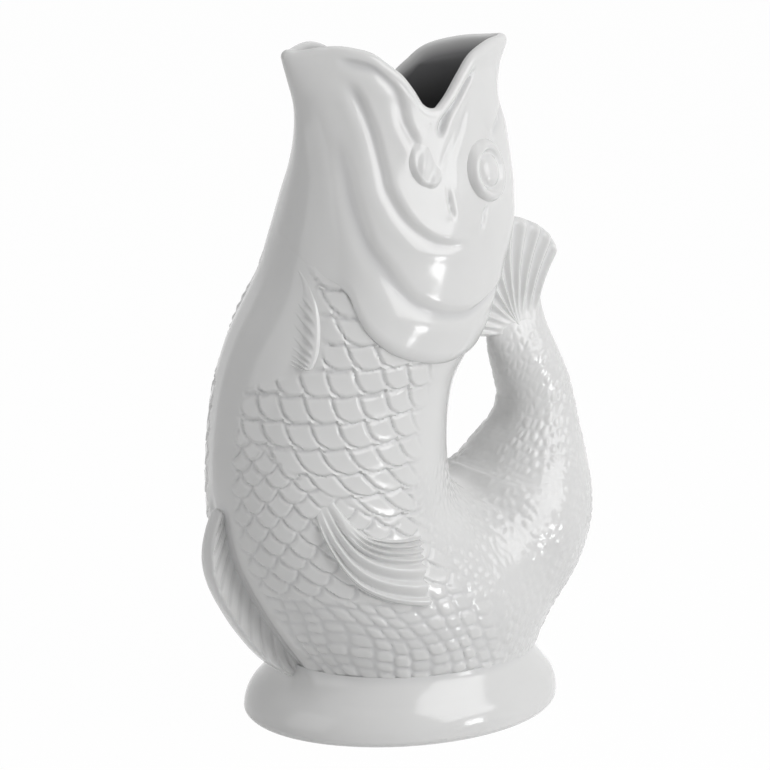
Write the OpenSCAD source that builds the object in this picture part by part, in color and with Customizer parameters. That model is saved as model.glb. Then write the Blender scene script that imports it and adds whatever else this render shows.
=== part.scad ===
// A fish-shaped gurgle jug, standing on an oval foot.
// The fish looks up: its open mouth is the spout, its belly faces -X, and its
// tail curls up at +X and back to the nape, which makes the handle. The tail is hollow and
// closed at its top, so it traps the air that gurgles out when the jug pours.
// Angles run round the trunk from the belly, at 0, over the near flank, at 90, to the back.

/* [Trunk] */
// Height of the trunk, from the top of the foot to the top of the mouth
trunk_h = 216; // [180:1:250]
// Length of the trunk, from front to back at its fullest
trunk_len = 102; // [88:1:116]
// Width of the trunk, from side to side at its fullest
trunk_w = 86; // [74:1:98]
// Thickness of the cast wall
wall = 4.6; // [3.6:0.1:6]
// How far the gill cover stands proud of the body behind it
gill_step = 1.6; // [0.8:0.1:2.4]
// How far the plates on the head stand proud of the skin below them
plate_lift = 1.3; // [0.6:0.1:1.8]
// Height over which the edge of such a plate rises
plate_edge = 4; // [3:0.5:6]
// Height over which such a plate runs out again
plate_run = 24; // [16:1:32]

/* [Foot] */
// Length of the oval foot
foot_len = 116; // [104:1:126]
// Width of the oval foot
foot_w = 98; // [88:1:106]
// Height of the foot
foot_h = 22; // [18:0.5:26]
// Thickness of the floor under the water
floor_t = 5; // [4:0.1:6.5]
// Height of the hollow under the floor
recess_h = 3; // [2:0.1:4]
// Width of the ring that the jug rests on
rest_ring_w = 8; // [6:0.5:10]
// Distance of the middle of the foot behind the origin, which is under the middle of the whole jug
foot_mid_x = 1.6; // [0:0.1:3]
// Radius that breaks the lower edge of the foot
foot_edge_r = 2.4; // [1:0.1:3]

/* [Tail] */
// Reach of the middle of the tail, from the middle of the foot
tail_reach = 57.2; // [51:0.5:62]
// Height of the closed end of the tail above the foot
tail_h = 121; // [114:0.5:126]
// Thickness of the tail at its root, seen from the side
tail_root_d = 60; // [54:0.5:66]
// Width of the tail at its root, across the jug
tail_root_w = 70; // [63:0.5:76]

/* [Tail fin] */
// Reach of the tip of the tail fin, from the middle of the foot
tail_fin_reach = 67.5; // [63:0.5:71]
// Rise of the top of the tail fin above the closed end of the tail
tail_fin_rise = 28; // [22:0.5:33]
// Thickness of the rays of the tail fin
tail_ray_t = 9; // [7:0.1:11]
// Thickness of the tail fin between its rays
tail_web_t = 6.6; // [5:0.1:7]
// Number of rays in the tail fin
tail_rays = 9; // [9:1:12]

/* [Small fins] */
// Height of the rays of the flank fins above the skin
flank_ray_t = 2.6; // [1.8:0.1:3.4]
// Height of the rays of the breast fins above the skin
breast_ray_t = 1.6; // [1.4:0.1:2.8]
// Depth of the belly fin, from the skin to its outer edge
belly_fin_d = 11; // [9:0.1:14]
// Thickness of the belly fin at its root
belly_fin_t = 5.2; // [4:0.1:6.4]
// Number of rays in each flank fin
flank_rays = 7; // [5:1:9]
// Number of rays in each breast fin
breast_rays = 6; // [4:1:8]

/* [Eyes and jaw] */
// Height of the ring round each eye
eye_ring = 20; // [16:0.5:24]
// How far the ball of each eye stands out of the skin
eye_out = 2.4; // [1.6:0.1:3.2]
// Length of the flap at each corner of the mouth
flap_len = 16; // [13:0.5:19]
// How far the flap stands out of the skin
flap_out = 2.4; // [1.6:0.1:3]

/* [Hidden] */

// Joint of slip that is left between a relief and the skin under it
slip = 0.1;
// Thickness of the slices that the tail is hulled from
slice_t = 0.1;
// Overrun of a cut past the face that it opens
overrun = 40;
// Steps round the trunk, along it and round the lip
round_steps = 56;
body_rows = 18;
head_rows = 24;
lip_steps = 4;
// Steps along the tail and round it
tail_steps = 18;
tail_round = 32;

glaze = "whitesmoke";

// Trunk: height, middle and half length as shares of its length, half width as a share of its width
trunk_shares = [
    [0.000, 0.020, 0.462, 0.470],
    [0.083, -0.054, 0.513, 0.503],
    [0.176, -0.200, 0.474, 0.470],
    [0.245, -0.273, 0.441, 0.440],
    [0.315, -0.294, 0.428, 0.427],
    [0.389, -0.291, 0.423, 0.421],
    [0.454, -0.268, 0.424, 0.422],
    [0.500, -0.228, 0.434, 0.434],
    [0.546, -0.175, 0.444, 0.446],
    [0.593, -0.126, 0.435, 0.441],
    [0.639, -0.082, 0.427, 0.433],
    [0.694, -0.040, 0.430, 0.423],
    [0.755, -0.014, 0.417, 0.388],
    [0.801, -0.002, 0.404, 0.347],
    [0.852, -0.003, 0.394, 0.306],
    [0.898, -0.018, 0.388, 0.272],
    [0.944, -0.027, 0.412, 0.272],
    [0.972, -0.023, 0.436, 0.286],
    [1.000, -0.014, 0.458, 0.298]];

// Rim of the mouth: angle from the belly, height as a share of the trunk's
rim_shares = [
    [0, 0.984], [12, 0.986], [25, 0.987], [40, 0.993], [49, 0.994], [56, 0.990],
    [62, 0.983], [68, 0.967], [74, 0.951], [79, 0.928], [82.5, 0.908], [86.5, 0.899],
    [91, 0.897], [95, 0.900], [104, 0.919], [114, 0.949], [123, 0.974], [136, 0.987],
    [150, 0.990], [180, 0.988]];

// Pinch of the mouth: height share, share of the half width taken off at the belly and at the back
pinch_shares = [[0, 0, 0], [0.72, 0, 0], [0.80, 0.03, 0.03], [0.90, 0.26, 0.14], [1, 0.78, 0.69]];
// How quickly the pinch grows from the flanks towards the lips
pinch_power = 1.5;

// Edge of the gill cover, where the head meets the body: angle, height as a share of the trunk's
gill_shares = [
    [0, 0.686], [8, 0.684], [18, 0.672], [27, 0.656], [37, 0.643], [44, 0.632],
    [50, 0.618], [56, 0.594], [64, 0.566], [72, 0.546], [81, 0.529], [91, 0.517],
    [104, 0.506], [117, 0.501], [130, 0.502], [180, 0.504]];

// Lower edges of the cover plate and of the cheek plate on the head: angle from the belly, height share
cover_line_shares = [
    [0, 1.10], [24, 1.00], [31, 0.880], [36, 0.811], [40, 0.769], [44, 0.740], [48, 0.715], [53, 0.689],
    [61, 0.662], [69, 0.636], [78, 0.612], [89, 0.594], [102, 0.583], [114, 0.580], [136, 0.600], [180, 0.613]];
cheek_line_shares = [
    [0, 1.15], [45, 1.00], [51, 0.890], [55, 0.820], [58.5, 0.775], [64.6, 0.743], [69.3, 0.726],
    [74.4, 0.711], [82, 0.697], [91, 0.689], [103, 0.688], [180, 0.690]];
// Angles between which the cheek plate runs out towards the nape
cheek_end = [100, 122];

// Tail: place along it, then its middle as shares of reach and height above the foot,
// then its half thickness and half width as shares of those at the root
tail_shares = [
    [0.0, -0.01, 0.182, 0.500, 0.500],
    [0.1, 0.366, 0.194, 0.533, 0.520],
    [0.2, 0.681, 0.277, 0.508, 0.491],
    [0.3, 0.873, 0.401, 0.447, 0.443],
    [0.4, 0.965, 0.529, 0.343, 0.329],
    [0.5, 1.000, 0.628, 0.260, 0.234],
    [0.6, 0.988, 0.711, 0.230, 0.191],
    [0.7, 0.935, 0.785, 0.217, 0.170],
    [0.8, 0.880, 0.851, 0.207, 0.148],
    [0.9, 0.838, 0.926, 0.202, 0.110],
    [1.0, 0.812, 1.000, 0.200, 0.058]];
// How far along the tail its hollow ends
bore_end_share = 0.86;

// Tail fin: ray ends from the nape to the tip, as shares of the fin's reach and of its rise
fin_tip_shares = [
    [0, 0.26, -0.41], [0.2, 0.33, -0.09], [0.4, 0.46, 0.44], [0.6, 0.65, 0.88],
    [0.76, 0.81, 0.80], [0.9, 0.915, 0.60], [1, 0.95, 0.39]];
// Tail fin: ray roots, as shares of the fin's reach and of its rise
fin_root_shares = [
    [0, 0.62, -0.52], [0.2, 0.635, -0.36], [0.4, 0.65, -0.22], [0.6, 0.69, -0.14],
    [0.76, 0.74, -0.11], [0.9, 0.81, -0.12], [1, 0.865, -0.22]];

// Flank fin: its front and lower ray and its upper ray, as place along, angle, height share
flank_low_shares = [
    [0, 58, 0.298], [0.14, 58.6, 0.26], [0.28, 60, 0.223], [0.43, 61.5, 0.186],
    [0.57, 64.7, 0.157], [0.71, 70.4, 0.1375], [0.86, 78.6, 0.124], [1, 88, 0.118]];
flank_top_shares = [
    [0, 67, 0.305], [0.14, 70.8, 0.282], [0.28, 74.1, 0.264], [0.43, 78.9, 0.2495],
    [0.57, 84.3, 0.241], [0.71, 90.5, 0.236], [0.86, 98.1, 0.234], [1, 106, 0.235]];

// Breast fin: its front edge and its ridge, as place along, angle, height share
breast_low_shares = [
    [0, 17, 0.672], [0.14, 9, 0.655], [0.28, 5, 0.627], [0.43, 7, 0.591],
    [0.57, 13, 0.558], [0.71, 22, 0.529], [0.86, 33, 0.512], [1, 45, 0.506]];
breast_top_shares = [
    [0, 20, 0.668], [0.14, 26, 0.642], [0.28, 31, 0.619], [0.43, 36, 0.598],
    [0.57, 40, 0.576], [0.71, 43.5, 0.554], [0.86, 46, 0.532], [1, 47.5, 0.509]];

// Belly fin: place along it, height share, depth as a share of the fin's depth
belly_fin_shares = [
    [0, 0.275, 0.05], [0.12, 0.238, 0.42], [0.28, 0.195, 0.76], [0.45, 0.148, 0.96],
    [0.62, 0.100, 1.00], [0.78, 0.056, 0.98], [0.9, 0.024, 0.92], [1, 0.004, 0.84]];

// Eye and flap: angle and height share of the middle, and half the angle that each spans
eye_angle = 116;
eye_share = 0.794;
eye_half_angle = 15;
flap_angle = 80;
flap_share = 0.812;
flap_half_angle = 9;

// Rows of a table are found by their first column and joined by smooth curves.
function row_of(t, x, i = 0) = (i < len(t) - 2 && x >= t[i + 1][0]) ? row_of(t, x, i + 1) : i;
function slope(t, i, c) =
    let (lo = max(i - 1, 0), hi = min(i + 1, len(t) - 1))
    (t[hi][c] - t[lo][c]) / (t[hi][0] - t[lo][0]);
function smooth_at(t, x, c) =
    let (i = row_of(t, x), step = t[i + 1][0] - t[i][0], s = (x - t[i][0]) / step)
    t[i][c] * (2 * s * s * s - 3 * s * s + 1)
    + slope(t, i, c) * step * (s * s * s - 2 * s * s + s)
    + t[i + 1][c] * (3 * s * s - 2 * s * s * s)
    + slope(t, i + 1, c) * step * (s * s * s - s * s);

// Angle from the belly, folded so that both flanks read the same tables
function folded(a) = a > 180 ? 360 - a : a;
function height_of(share) = foot_h + share * trunk_h;
function rim_z(a) = height_of(smooth_at(rim_shares, folded(a), 1));
function gill_z(a) = height_of(smooth_at(gill_shares, folded(a), 1));

// Point on the skin at an angle and a height, moved out by some distance. Near the foot
// the section eases into the oval that stands on the foot.
function mid_x(z) = foot_mid_x + trunk_len * smooth_at(trunk_shares, (z - foot_h) / trunk_h, 1);
function half_len(z) = trunk_len * smooth_at(trunk_shares, (z - foot_h) / trunk_h, 2);
function half_w(z) = trunk_w * smooth_at(trunk_shares, (z - foot_h) / trunk_h, 3);
function pinch(a, z) =
    1 - max(0, smooth_at(pinch_shares, (z - foot_h) / trunk_h, cos(a) > 0 ? 1 : 2))
    * pow(abs(cos(a)), pinch_power);
function skin(a, z, out = 0) = [
    mid_x(z) - (half_len(z) + out) * cos(a),
    -(half_w(z) * pinch(a, z) + out) * sin(a),
    z];

// Proud edge of the gill cover, easing into the head above it
function cover_out(v) = gill_step * pow(1 - v, 3);

// Low plate on the head, proud along its lower edge and running out above it
function ease(x) = let (t = min(max(x, 0), 1)) t * t * (3 - 2 * t);
function plate_step(a, z, line) =
    let (d = z - height_of(smooth_at(line, folded(a), 1)))
    plate_lift * ease(d / plate_edge + 0.5) * (1 - ease(d / plate_run));
function cheek_share(a) = 1 - ease((folded(a) - cheek_end[0]) / (cheek_end[1] - cheek_end[0]));
function plate_out(a, z) =
    (plate_step(a, z, cover_line_shares) + plate_step(a, z, cheek_line_shares) * cheek_share(a))
    * ease((rim_z(a) - wall - z) / plate_edge);

// Closed solid from loops of points: each loop is one upright slice, and the slices run round the jug.
module ring_solid(loops) {
    n = len(loops);
    m = len(loops[0]);
    polyhedron(
        points = [for (loop = loops) each loop],
        faces = [for (i = [0:n - 1], j = [0:m - 1], half = [0, 1])
            let (i2 = (i + 1) % n, j2 = (j + 1) % m)
            half == 0 ? [i * m + j, i * m + j2, i2 * m + j2] : [i * m + j, i2 * m + j2, i2 * m + j]],
        convexity = 8);
}

// Closed solid from upright slices that all start and end on the middle line.
module pole_solid(low, loops, high) {
    n = len(loops);
    m = len(loops[0]);
    polyhedron(
        points = concat([for (loop = loops) each loop], [low, high]),
        faces = concat(
            [for (i = [0:n - 1], j = [0:m - 2], half = [0, 1])
                let (p = i * m + j, q = ((i + 1) % n) * m + j)
                half == 0 ? [p, p + 1, q + 1] : [p, q + 1, q]],
            [for (i = [0:n - 1]) [n * m, i * m, ((i + 1) % n) * m]],
            [for (i = [0:n - 1]) [n * m + 1, ((i + 1) % n) * m + m - 1, i * m + m - 1]]),
        convexity = 8);
}

// Closed plate from a grid of points on its face and the grid behind it.
module plate(face, back) {
    n = len(face);
    m = len(face[0]);
    size = n * m;
    edge = concat(
        [for (i = [0:n - 2]) i * m],
        [for (j = [0:m - 2]) (n - 1) * m + j],
        [for (i = [n - 1:-1:1]) i * m + m - 1],
        [for (j = [m - 1:-1:1]) j]);
    polyhedron(
        points = concat([for (row = face) each row], [for (row = back) each row]),
        faces = concat(
            [for (i = [0:n - 2], j = [0:m - 2], half = [0, 1])
                let (k = i * m + j)
                half == 0 ? [k, k + 1, k + m + 1] : [k, k + m + 1, k + m]],
            [for (i = [0:n - 2], j = [0:m - 2], half = [0, 1])
                let (k = size + i * m + j)
                half == 0 ? [k, k + m + 1, k + 1] : [k, k + m, k + m + 1]],
            [for (e = [0:len(edge) - 1], half = [0, 1])
                let (p = edge[e], q = edge[(e + 1) % len(edge)])
                half == 0 ? [p, q, size + q] : [p, size + q, size + p]]),
        convexity = 8);
}

function turn(i) = 360 * i / round_steps;
function body_z(a, v) = foot_h + v * (gill_z(a) - foot_h);
function head_z(a, v) = gill_z(a) + v * (rim_z(a) - wall / 2 - gill_z(a));

function body_outside(a) = [for (j = [0:body_rows]) skin(a, body_z(a, j / body_rows))];
function body_inside(a) = [for (j = [body_rows:-1:0]) skin(a, body_z(a, j / body_rows), -wall)];
function head_outside(a) = [for (j = [0:head_rows])
    let (z = head_z(a, j / head_rows))
    skin(a, z, cover_out(j / head_rows) + plate_out(a, z))];
function head_inside(a) = [for (j = [head_rows:-1:0]) skin(a, head_z(a, j / head_rows), -wall)];
function lip(a) = [for (j = [1:lip_steps - 1])
    let (t = 180 * j / lip_steps)
    skin(a, rim_z(a) - wall / 2 * (1 - sin(t)), -wall / 2 * (1 - cos(t)))];

// Solid outline of the body and of the head, which the tail and its fin are cut back to
module body_core() {
    loops = [for (i = [0:round_steps - 1]) body_outside(turn(i))];
    pole_solid([mid_x(foot_h), 0, foot_h], loops, [mid_x(gill_z(90)), 0, gill_z(90)]);
}
module head_core() {
    loops = [for (i = [0:round_steps - 1]) head_outside(turn(i))];
    pole_solid([mid_x(gill_z(90)), 0, gill_z(90)], loops, [mid_x(rim_z(90)), 0, rim_z(90)]);
}

// Place, thickness and width of the tail at a share of the way along it
function tail_x(q) = foot_mid_x + tail_reach * smooth_at(tail_shares, q, 1);
function tail_z(q) = foot_h + tail_h * smooth_at(tail_shares, q, 2);
function tail_half_t(q) = tail_root_d * smooth_at(tail_shares, q, 3);
function tail_half_w(q) = tail_root_w * smooth_at(tail_shares, q, 4);
function tail_lean(q) =
    let (d = 0.02, lo = max(q - d, 0), hi = min(q + d, 1))
    atan2(tail_x(hi) - tail_x(lo), tail_z(hi) - tail_z(lo));

module tail_slice(q, inset) {
    translate([tail_x(q), 0, tail_z(q)])
        rotate([0, tail_lean(q), 0])
            linear_extrude(slice_t, center = true)
                polygon([for (k = [0:tail_round - 1])
                    let (t = 360 * k / tail_round)
                    [(tail_half_t(q) - inset) * cos(t), (tail_half_w(q) - inset) * sin(t)]]);
}

// Solid run of the tail from its root to a share of its length
module tail_run(inset, share) {
    for (k = [0:tail_steps - 1])
        hull() {
            tail_slice(share * k / tail_steps, inset);
            tail_slice(share * (k + 1) / tail_steps, inset);
        }
}

module below_foot_top() {
    translate([-overrun * 3, -overrun * 3, foot_h - overrun * 2])
        cube([overrun * 6, overrun * 6, overrun * 2]);
}

module body_shell() {
    color(glaze)
        difference() {
            ring_solid([for (i = [0:round_steps - 1])
                let (a = turn(i))
                concat(body_outside(a), body_inside(a))]);
            tail_run(wall, bore_end_share);
        }
}

// The lowest loop point lies on the body's own edge, so the two rings meet face to face.
module head_shell() {
    color(glaze)
        ring_solid([for (i = [0:round_steps - 1])
            let (a = turn(i))
            concat([skin(a, gill_z(a))], head_outside(a), lip(a), head_inside(a))]);
}

module tail_handle() {
    color(glaze)
        difference() {
            tail_run(0, 1);
            tail_run(wall, bore_end_share);
            body_core();
            below_foot_top();
        }
}

// Ends of the rays of the tail fin, shared evenly along the two curves
function fin_point(t, s) = [
    foot_mid_x + tail_fin_reach * smooth_at(t, s, 1),
    0,
    foot_h + tail_h + tail_fin_rise * smooth_at(t, s, 2)];

module fin_ray(s, thick) {
    for (p = [fin_point(fin_root_shares, s), fin_point(fin_tip_shares, s)])
        translate(p)
            sphere(d = thick, $fn = 12);
}

module tail_fin() {
    color(glaze)
        difference() {
            union() {
                for (k = [0:tail_rays - 1])
                    hull() fin_ray(k / (tail_rays - 1), tail_ray_t);
                for (k = [0:tail_rays - 2])
                    hull() {
                        fin_ray(k / (tail_rays - 1), tail_web_t);
                        fin_ray((k + 1) / (tail_rays - 1), tail_web_t);
                    }
            }
            tail_run(0, 1);
            body_core();
            head_core();
        }
}

// Outline of the foot: share of its height, share of the way from the trunk's oval to its full oval
foot_shares = [
    [0, 1.00], [0.12, 1.02], [0.28, 0.98], [0.45, 0.82],
    [0.62, 0.52], [0.78, 0.24], [0.9, 0.08], [1, 0.00]];
function foot_half(ankle, full, z) =
    ankle + (full / 2 - ankle) * smooth_at(foot_shares, min(z / foot_h, 1), 1);
function foot_point(a, z, out = 0) = [
    foot_mid_x + (mid_x(foot_h) - foot_mid_x) * z / foot_h
        - (foot_half(half_len(foot_h), foot_len, z) + out) * cos(a),
    -(foot_half(half_w(foot_h), foot_w, z) + out) * sin(a),
    z];
foot_rows = 10;
cavity_rows = 5;
floor_z = recess_h + floor_t;
// Extra depth that is cut off again, which leaves the resting ring one flat face
foot_cut = 1;

// One upright slice of the foot: under the floor, round the resting ring, up its side and down inside
function foot_slice(a) = concat(
    [foot_point(a, recess_h, -rest_ring_w - foot_edge_r - recess_h),
     foot_point(a, 0, -rest_ring_w - foot_edge_r) - [0, 0, foot_cut],
     foot_point(a, 0, -foot_edge_r) - [0, 0, foot_cut],
     foot_point(a, 0, -foot_edge_r)],
    [for (t = [30:30:90]) foot_point(a, foot_edge_r * (1 - cos(t)), -foot_edge_r * (1 - sin(t)))],
    [for (j = [1:foot_rows]) foot_point(a, foot_edge_r + (foot_h - foot_edge_r) * j / foot_rows)],
    [for (j = [cavity_rows:-1:0]) foot_point(a, floor_z + (foot_h - floor_z) * j / cavity_rows, -wall)]);

module pedestal_foot() {
    color(glaze)
        difference() {
            pole_solid(
                [foot_mid_x, 0, recess_h],
                [for (i = [0:round_steps - 1]) foot_slice(turn(i))],
                [foot_mid_x, 0, floor_z]);
            translate([-overrun * 3, -overrun * 3, -overrun])
                cube([overrun * 6, overrun * 6, overrun]);
        }
}

// Place on the skin between two edge curves, a share v across and a share u along
function between(low, top, u, v) = [
    smooth_at(low, u, 1) * (1 - v) + smooth_at(top, u, 1) * v,
    smooth_at(low, u, 2) * (1 - v) + smooth_at(top, u, 2) * v];
function skin_at(place, side, out) = skin(side * place[0], height_of(place[1]), out);

// Fin laid on the skin: rays run along it, with shallow valleys between them.
fin_steps = 14;
valley_share = 0.55;
root_share = 0.35;
function fin_rise(thick, i, j) =
    thick * (j % 2 == 0 ? valley_share : 1) * (root_share + (1 - root_share) * min(1, 4 * i / fin_steps));
function flipped(grid) = [for (row = grid) [for (j = [len(row) - 1:-1:0]) row[j]]];
module skin_fin(low, top, rays, thick, side) {
    across = 2 * rays;
    places = [for (i = [0:fin_steps]) [for (j = [0:across])
        between(low, top, i / fin_steps, j / across)]];
    face = [for (i = [0:fin_steps]) [for (j = [0:across])
        skin_at(places[i][j], side, slip + fin_rise(thick, i, j))]];
    back = [for (row = places) [for (place = row) skin_at(place, side, slip)]];
    if (side > 0) plate(face, back);
    else plate(flipped(face), flipped(back));
}

module flank_fin(side) {
    color(glaze) skin_fin(flank_low_shares, flank_top_shares, flank_rays, flank_ray_t, side);
}
module breast_fin(side) {
    color(glaze) skin_fin(breast_low_shares, breast_top_shares, breast_rays, breast_ray_t, side);
}
module flank_fin_right() { flank_fin(-1); }
module flank_fin_left() { flank_fin(1); }
module breast_fin_right() { breast_fin(-1); }
module breast_fin_left() { breast_fin(1); }

// Button laid on the skin: rings round a middle, each with its own height, closed behind by a flat ring.
// Its spot gives the angle and height share of the middle, then half the spread of each.
button_round = 28;
function spread(spot, size, t, side, out) =
    let (angle = spot[0] + size * spot[2] * cos(t), share = spot[1] + size * spot[3] * sin(t))
    skin(side * angle, height_of(share), slip + out);
module skin_button(spot, profile, out, side) {
    back_share = 0.5;
    slices = [for (k = [0:button_round - 1])
        let (t = -side * 360 * k / button_round)
        concat([for (p = profile) spread(spot, p[0], t, side, out * p[1])],
            [spread(spot, back_share, t, side, 0)])];
    pole_solid(spread(spot, 0, 0, side, out * profile[0][1]), slices, spread(spot, 0, 0, side, 0));
}

// Ball inside a groove inside a raised ring
eye_profile_shares = [
    [0.2, 0.97], [0.4, 0.82], [0.54, 0.50], [0.62, 0.42],
    [0.72, 0.66], [0.82, 0.74], [0.92, 0.52], [1, 0]];
flap_profile_shares = [[0.3, 0.95], [0.6, 0.82], [0.82, 0.52], [1, 0]];
eye_spot = [eye_angle, eye_share, eye_half_angle, eye_ring / 2 / trunk_h];
flap_spot = [flap_angle, flap_share, flap_half_angle, flap_len / 2 / trunk_h];

module eye(side) {
    color(glaze) skin_button(eye_spot, eye_profile_shares, eye_out, side);
}
module jaw_flap(side) {
    color(glaze) skin_button(flap_spot, flap_profile_shares, flap_out, side);
}
module eye_right() { eye(-1); }
module eye_left() { eye(1); }
module jaw_flap_right() { jaw_flap(-1); }
module jaw_flap_left() { jaw_flap(1); }

// Belly fin: a keel in the middle plane, thinner towards its outer edge, with rays on both faces.
belly_steps = 16;
belly_across = 4;
belly_edge_share = 0.55;
module belly_fin() {
    function place(i, j) =
        let (u = i / belly_steps, z = height_of(smooth_at(belly_fin_shares, u, 1)))
        [z, slip * 2 + belly_fin_d * smooth_at(belly_fin_shares, u, 2) * j / belly_across];
    function half_t(i, j) =
        belly_fin_t / 2 * (1 - (1 - belly_edge_share) * j / belly_across) * ((i + j) % 2 == 0 ? 1 : 0.8);
    face = [for (i = [0:belly_steps]) [for (j = [0:belly_across])
        let (p = place(i, j), s = skin(0, p[0], p[1]))
        [s[0], half_t(i, j), s[2]]]];
    back = [for (row = face) [for (p = row) [p[0], -p[1], p[2]]]];
    color(glaze) plate(face, back);
}

body_shell();
head_shell();
tail_handle();
tail_fin();
pedestal_foot();
belly_fin();
flank_fin_left();
flank_fin_right();
breast_fin_left();
breast_fin_right();
eye_left();
eye_right();
jaw_flap_left();
jaw_flap_right();
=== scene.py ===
import math

import bpy
import numpy as np
from bpy.props import FloatProperty, FloatVectorProperty, IntProperty, PointerProperty
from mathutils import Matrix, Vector


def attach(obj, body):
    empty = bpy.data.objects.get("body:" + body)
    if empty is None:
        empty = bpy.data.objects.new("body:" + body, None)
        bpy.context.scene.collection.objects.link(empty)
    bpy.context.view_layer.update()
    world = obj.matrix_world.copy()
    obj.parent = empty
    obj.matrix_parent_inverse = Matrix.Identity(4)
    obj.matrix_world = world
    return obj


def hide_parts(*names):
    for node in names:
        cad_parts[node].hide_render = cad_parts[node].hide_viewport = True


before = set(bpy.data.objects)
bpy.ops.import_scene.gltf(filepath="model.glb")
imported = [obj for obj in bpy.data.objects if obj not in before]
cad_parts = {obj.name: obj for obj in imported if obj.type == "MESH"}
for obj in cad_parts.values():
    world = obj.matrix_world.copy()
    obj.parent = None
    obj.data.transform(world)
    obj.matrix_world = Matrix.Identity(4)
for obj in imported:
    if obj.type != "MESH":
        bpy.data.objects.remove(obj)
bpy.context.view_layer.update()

bl_info = {
    "name": "Glazed fish jug",
    "version": (1, 0, 0),
    "blender": (4, 5, 0),
    "location": "View3D > Sidebar > Jug",
    "description": "Builds the glazed skin, fins and scales of a fish-shaped gurgle jug",
    "category": "Object",
}

MM = 0.001
IMAGE_SIZE = 770

# Trunk: share of its height, middle and half length as shares of its length, half width as a share of width
TRUNK_SHARES = np.array([
    [0.000, 0.020, 0.462, 0.470], [0.083, -0.054, 0.513, 0.503], [0.176, -0.200, 0.474, 0.470],
    [0.245, -0.273, 0.441, 0.440], [0.315, -0.294, 0.428, 0.427], [0.389, -0.291, 0.423, 0.421],
    [0.454, -0.268, 0.424, 0.422], [0.500, -0.228, 0.434, 0.434], [0.546, -0.175, 0.444, 0.446],
    [0.593, -0.126, 0.435, 0.441], [0.639, -0.082, 0.427, 0.433], [0.694, -0.040, 0.430, 0.423],
    [0.755, -0.014, 0.417, 0.388], [0.801, -0.002, 0.404, 0.347], [0.852, -0.003, 0.394, 0.306],
    [0.898, -0.018, 0.388, 0.272], [0.944, -0.027, 0.412, 0.272], [0.972, -0.023, 0.436, 0.286],
    [1.000, -0.014, 0.458, 0.298]])
# Rim of the mouth and edge of the gill cover: angle from the belly, share of the trunk's height
RIM_SHARES = np.array([
    [0, 0.984], [12, 0.986], [25, 0.987], [40, 0.993], [49, 0.994], [56, 0.990], [62, 0.983], [68, 0.967],
    [74, 0.951], [79, 0.928], [82.5, 0.908], [86.5, 0.899], [91, 0.897], [95, 0.900], [104, 0.919],
    [114, 0.949], [123, 0.974], [136, 0.987], [150, 0.990], [180, 0.988]])
# Pinch of the mouth: height share, shares of the half width taken off at the belly and at the back,
# and the power of the cosine with which that runs out towards the flanks
PINCH_SHARES = np.array([[0, 0, 0], [0.72, 0, 0], [0.80, 0.03, 0.03], [0.90, 0.26, 0.14], [1, 0.78, 0.69]])
PINCH_POWER = 1.5
GILL_SHARES = np.array([
    [0, 0.686], [8, 0.684], [18, 0.672], [27, 0.656], [37, 0.643], [44, 0.632], [50, 0.618], [56, 0.594],
    [64, 0.566], [72, 0.546], [81, 0.529], [91, 0.517], [104, 0.506], [117, 0.501], [130, 0.502],
    [180, 0.504]])
# Tail: place along it, its middle as shares of reach and height, half thickness and half width as shares
TAIL_SHARES = np.array([
    [0.0, -0.01, 0.182, 0.500, 0.500], [0.1, 0.366, 0.194, 0.533, 0.520], [0.2, 0.681, 0.277, 0.508, 0.491],
    [0.3, 0.873, 0.401, 0.447, 0.443], [0.4, 0.965, 0.529, 0.343, 0.329], [0.5, 1.000, 0.628, 0.260, 0.234],
    [0.6, 0.988, 0.711, 0.230, 0.191], [0.7, 0.935, 0.785, 0.217, 0.170], [0.8, 0.880, 0.851, 0.207, 0.148],
    [0.9, 0.838, 0.926, 0.202, 0.110], [1.0, 0.812, 1.000, 0.200, 0.058]])
# Tail fin: ray ends and ray roots, as place across the fan, then shares of the fin's reach and of its rise
FIN_TIP_SHARES = np.array([
    [0, 0.26, -0.41], [0.2, 0.33, -0.09], [0.4, 0.46, 0.44], [0.6, 0.65, 0.88],
    [0.76, 0.81, 0.80], [0.9, 0.915, 0.60], [1, 0.95, 0.39]])
FIN_ROOT_SHARES = np.array([
    [0, 0.62, -0.52], [0.2, 0.635, -0.36], [0.4, 0.65, -0.22], [0.6, 0.69, -0.14],
    [0.76, 0.74, -0.11], [0.9, 0.81, -0.12], [1, 0.865, -0.22]])
# Flank fin and breast fin: place along a ray, angle and height share of their two outer edges
FLANK_LOW = np.array([
    [0, 54, 0.316], [0.14, 56.8, 0.27], [0.28, 59.6, 0.225], [0.43, 61.5, 0.186],
    [0.57, 64.7, 0.157], [0.71, 70.4, 0.1375], [0.86, 78.6, 0.124], [1, 88, 0.118]])
FLANK_TOP = np.array([
    [0, 63, 0.323], [0.14, 69, 0.292], [0.28, 73.8, 0.267], [0.43, 78.9, 0.2495],
    [0.57, 84.3, 0.241], [0.71, 90.5, 0.236], [0.86, 98.1, 0.234], [1, 106, 0.235]])
BREAST_LOW = np.array([
    [0, 17, 0.672], [0.14, 9, 0.655], [0.28, 5, 0.627], [0.43, 7, 0.591],
    [0.57, 13, 0.558], [0.71, 22, 0.529], [0.86, 33, 0.512], [1, 45, 0.506]])
BREAST_TOP = np.array([
    [0, 20, 0.652], [0.14, 27.5, 0.637], [0.28, 33.5, 0.619], [0.43, 39, 0.598],
    [0.57, 43.5, 0.574], [0.71, 46.9, 0.547], [0.86, 48.4, 0.525], [1, 48.2, 0.507]])
# Rays of the flank fin: place across it, number of the ray that starts there
FLANK_RAYS = np.array([[0, 0], [0.17, 1], [0.40, 2], [0.63, 3], [0.74, 4], [0.84, 5], [0.93, 6], [1, 7]])
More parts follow.
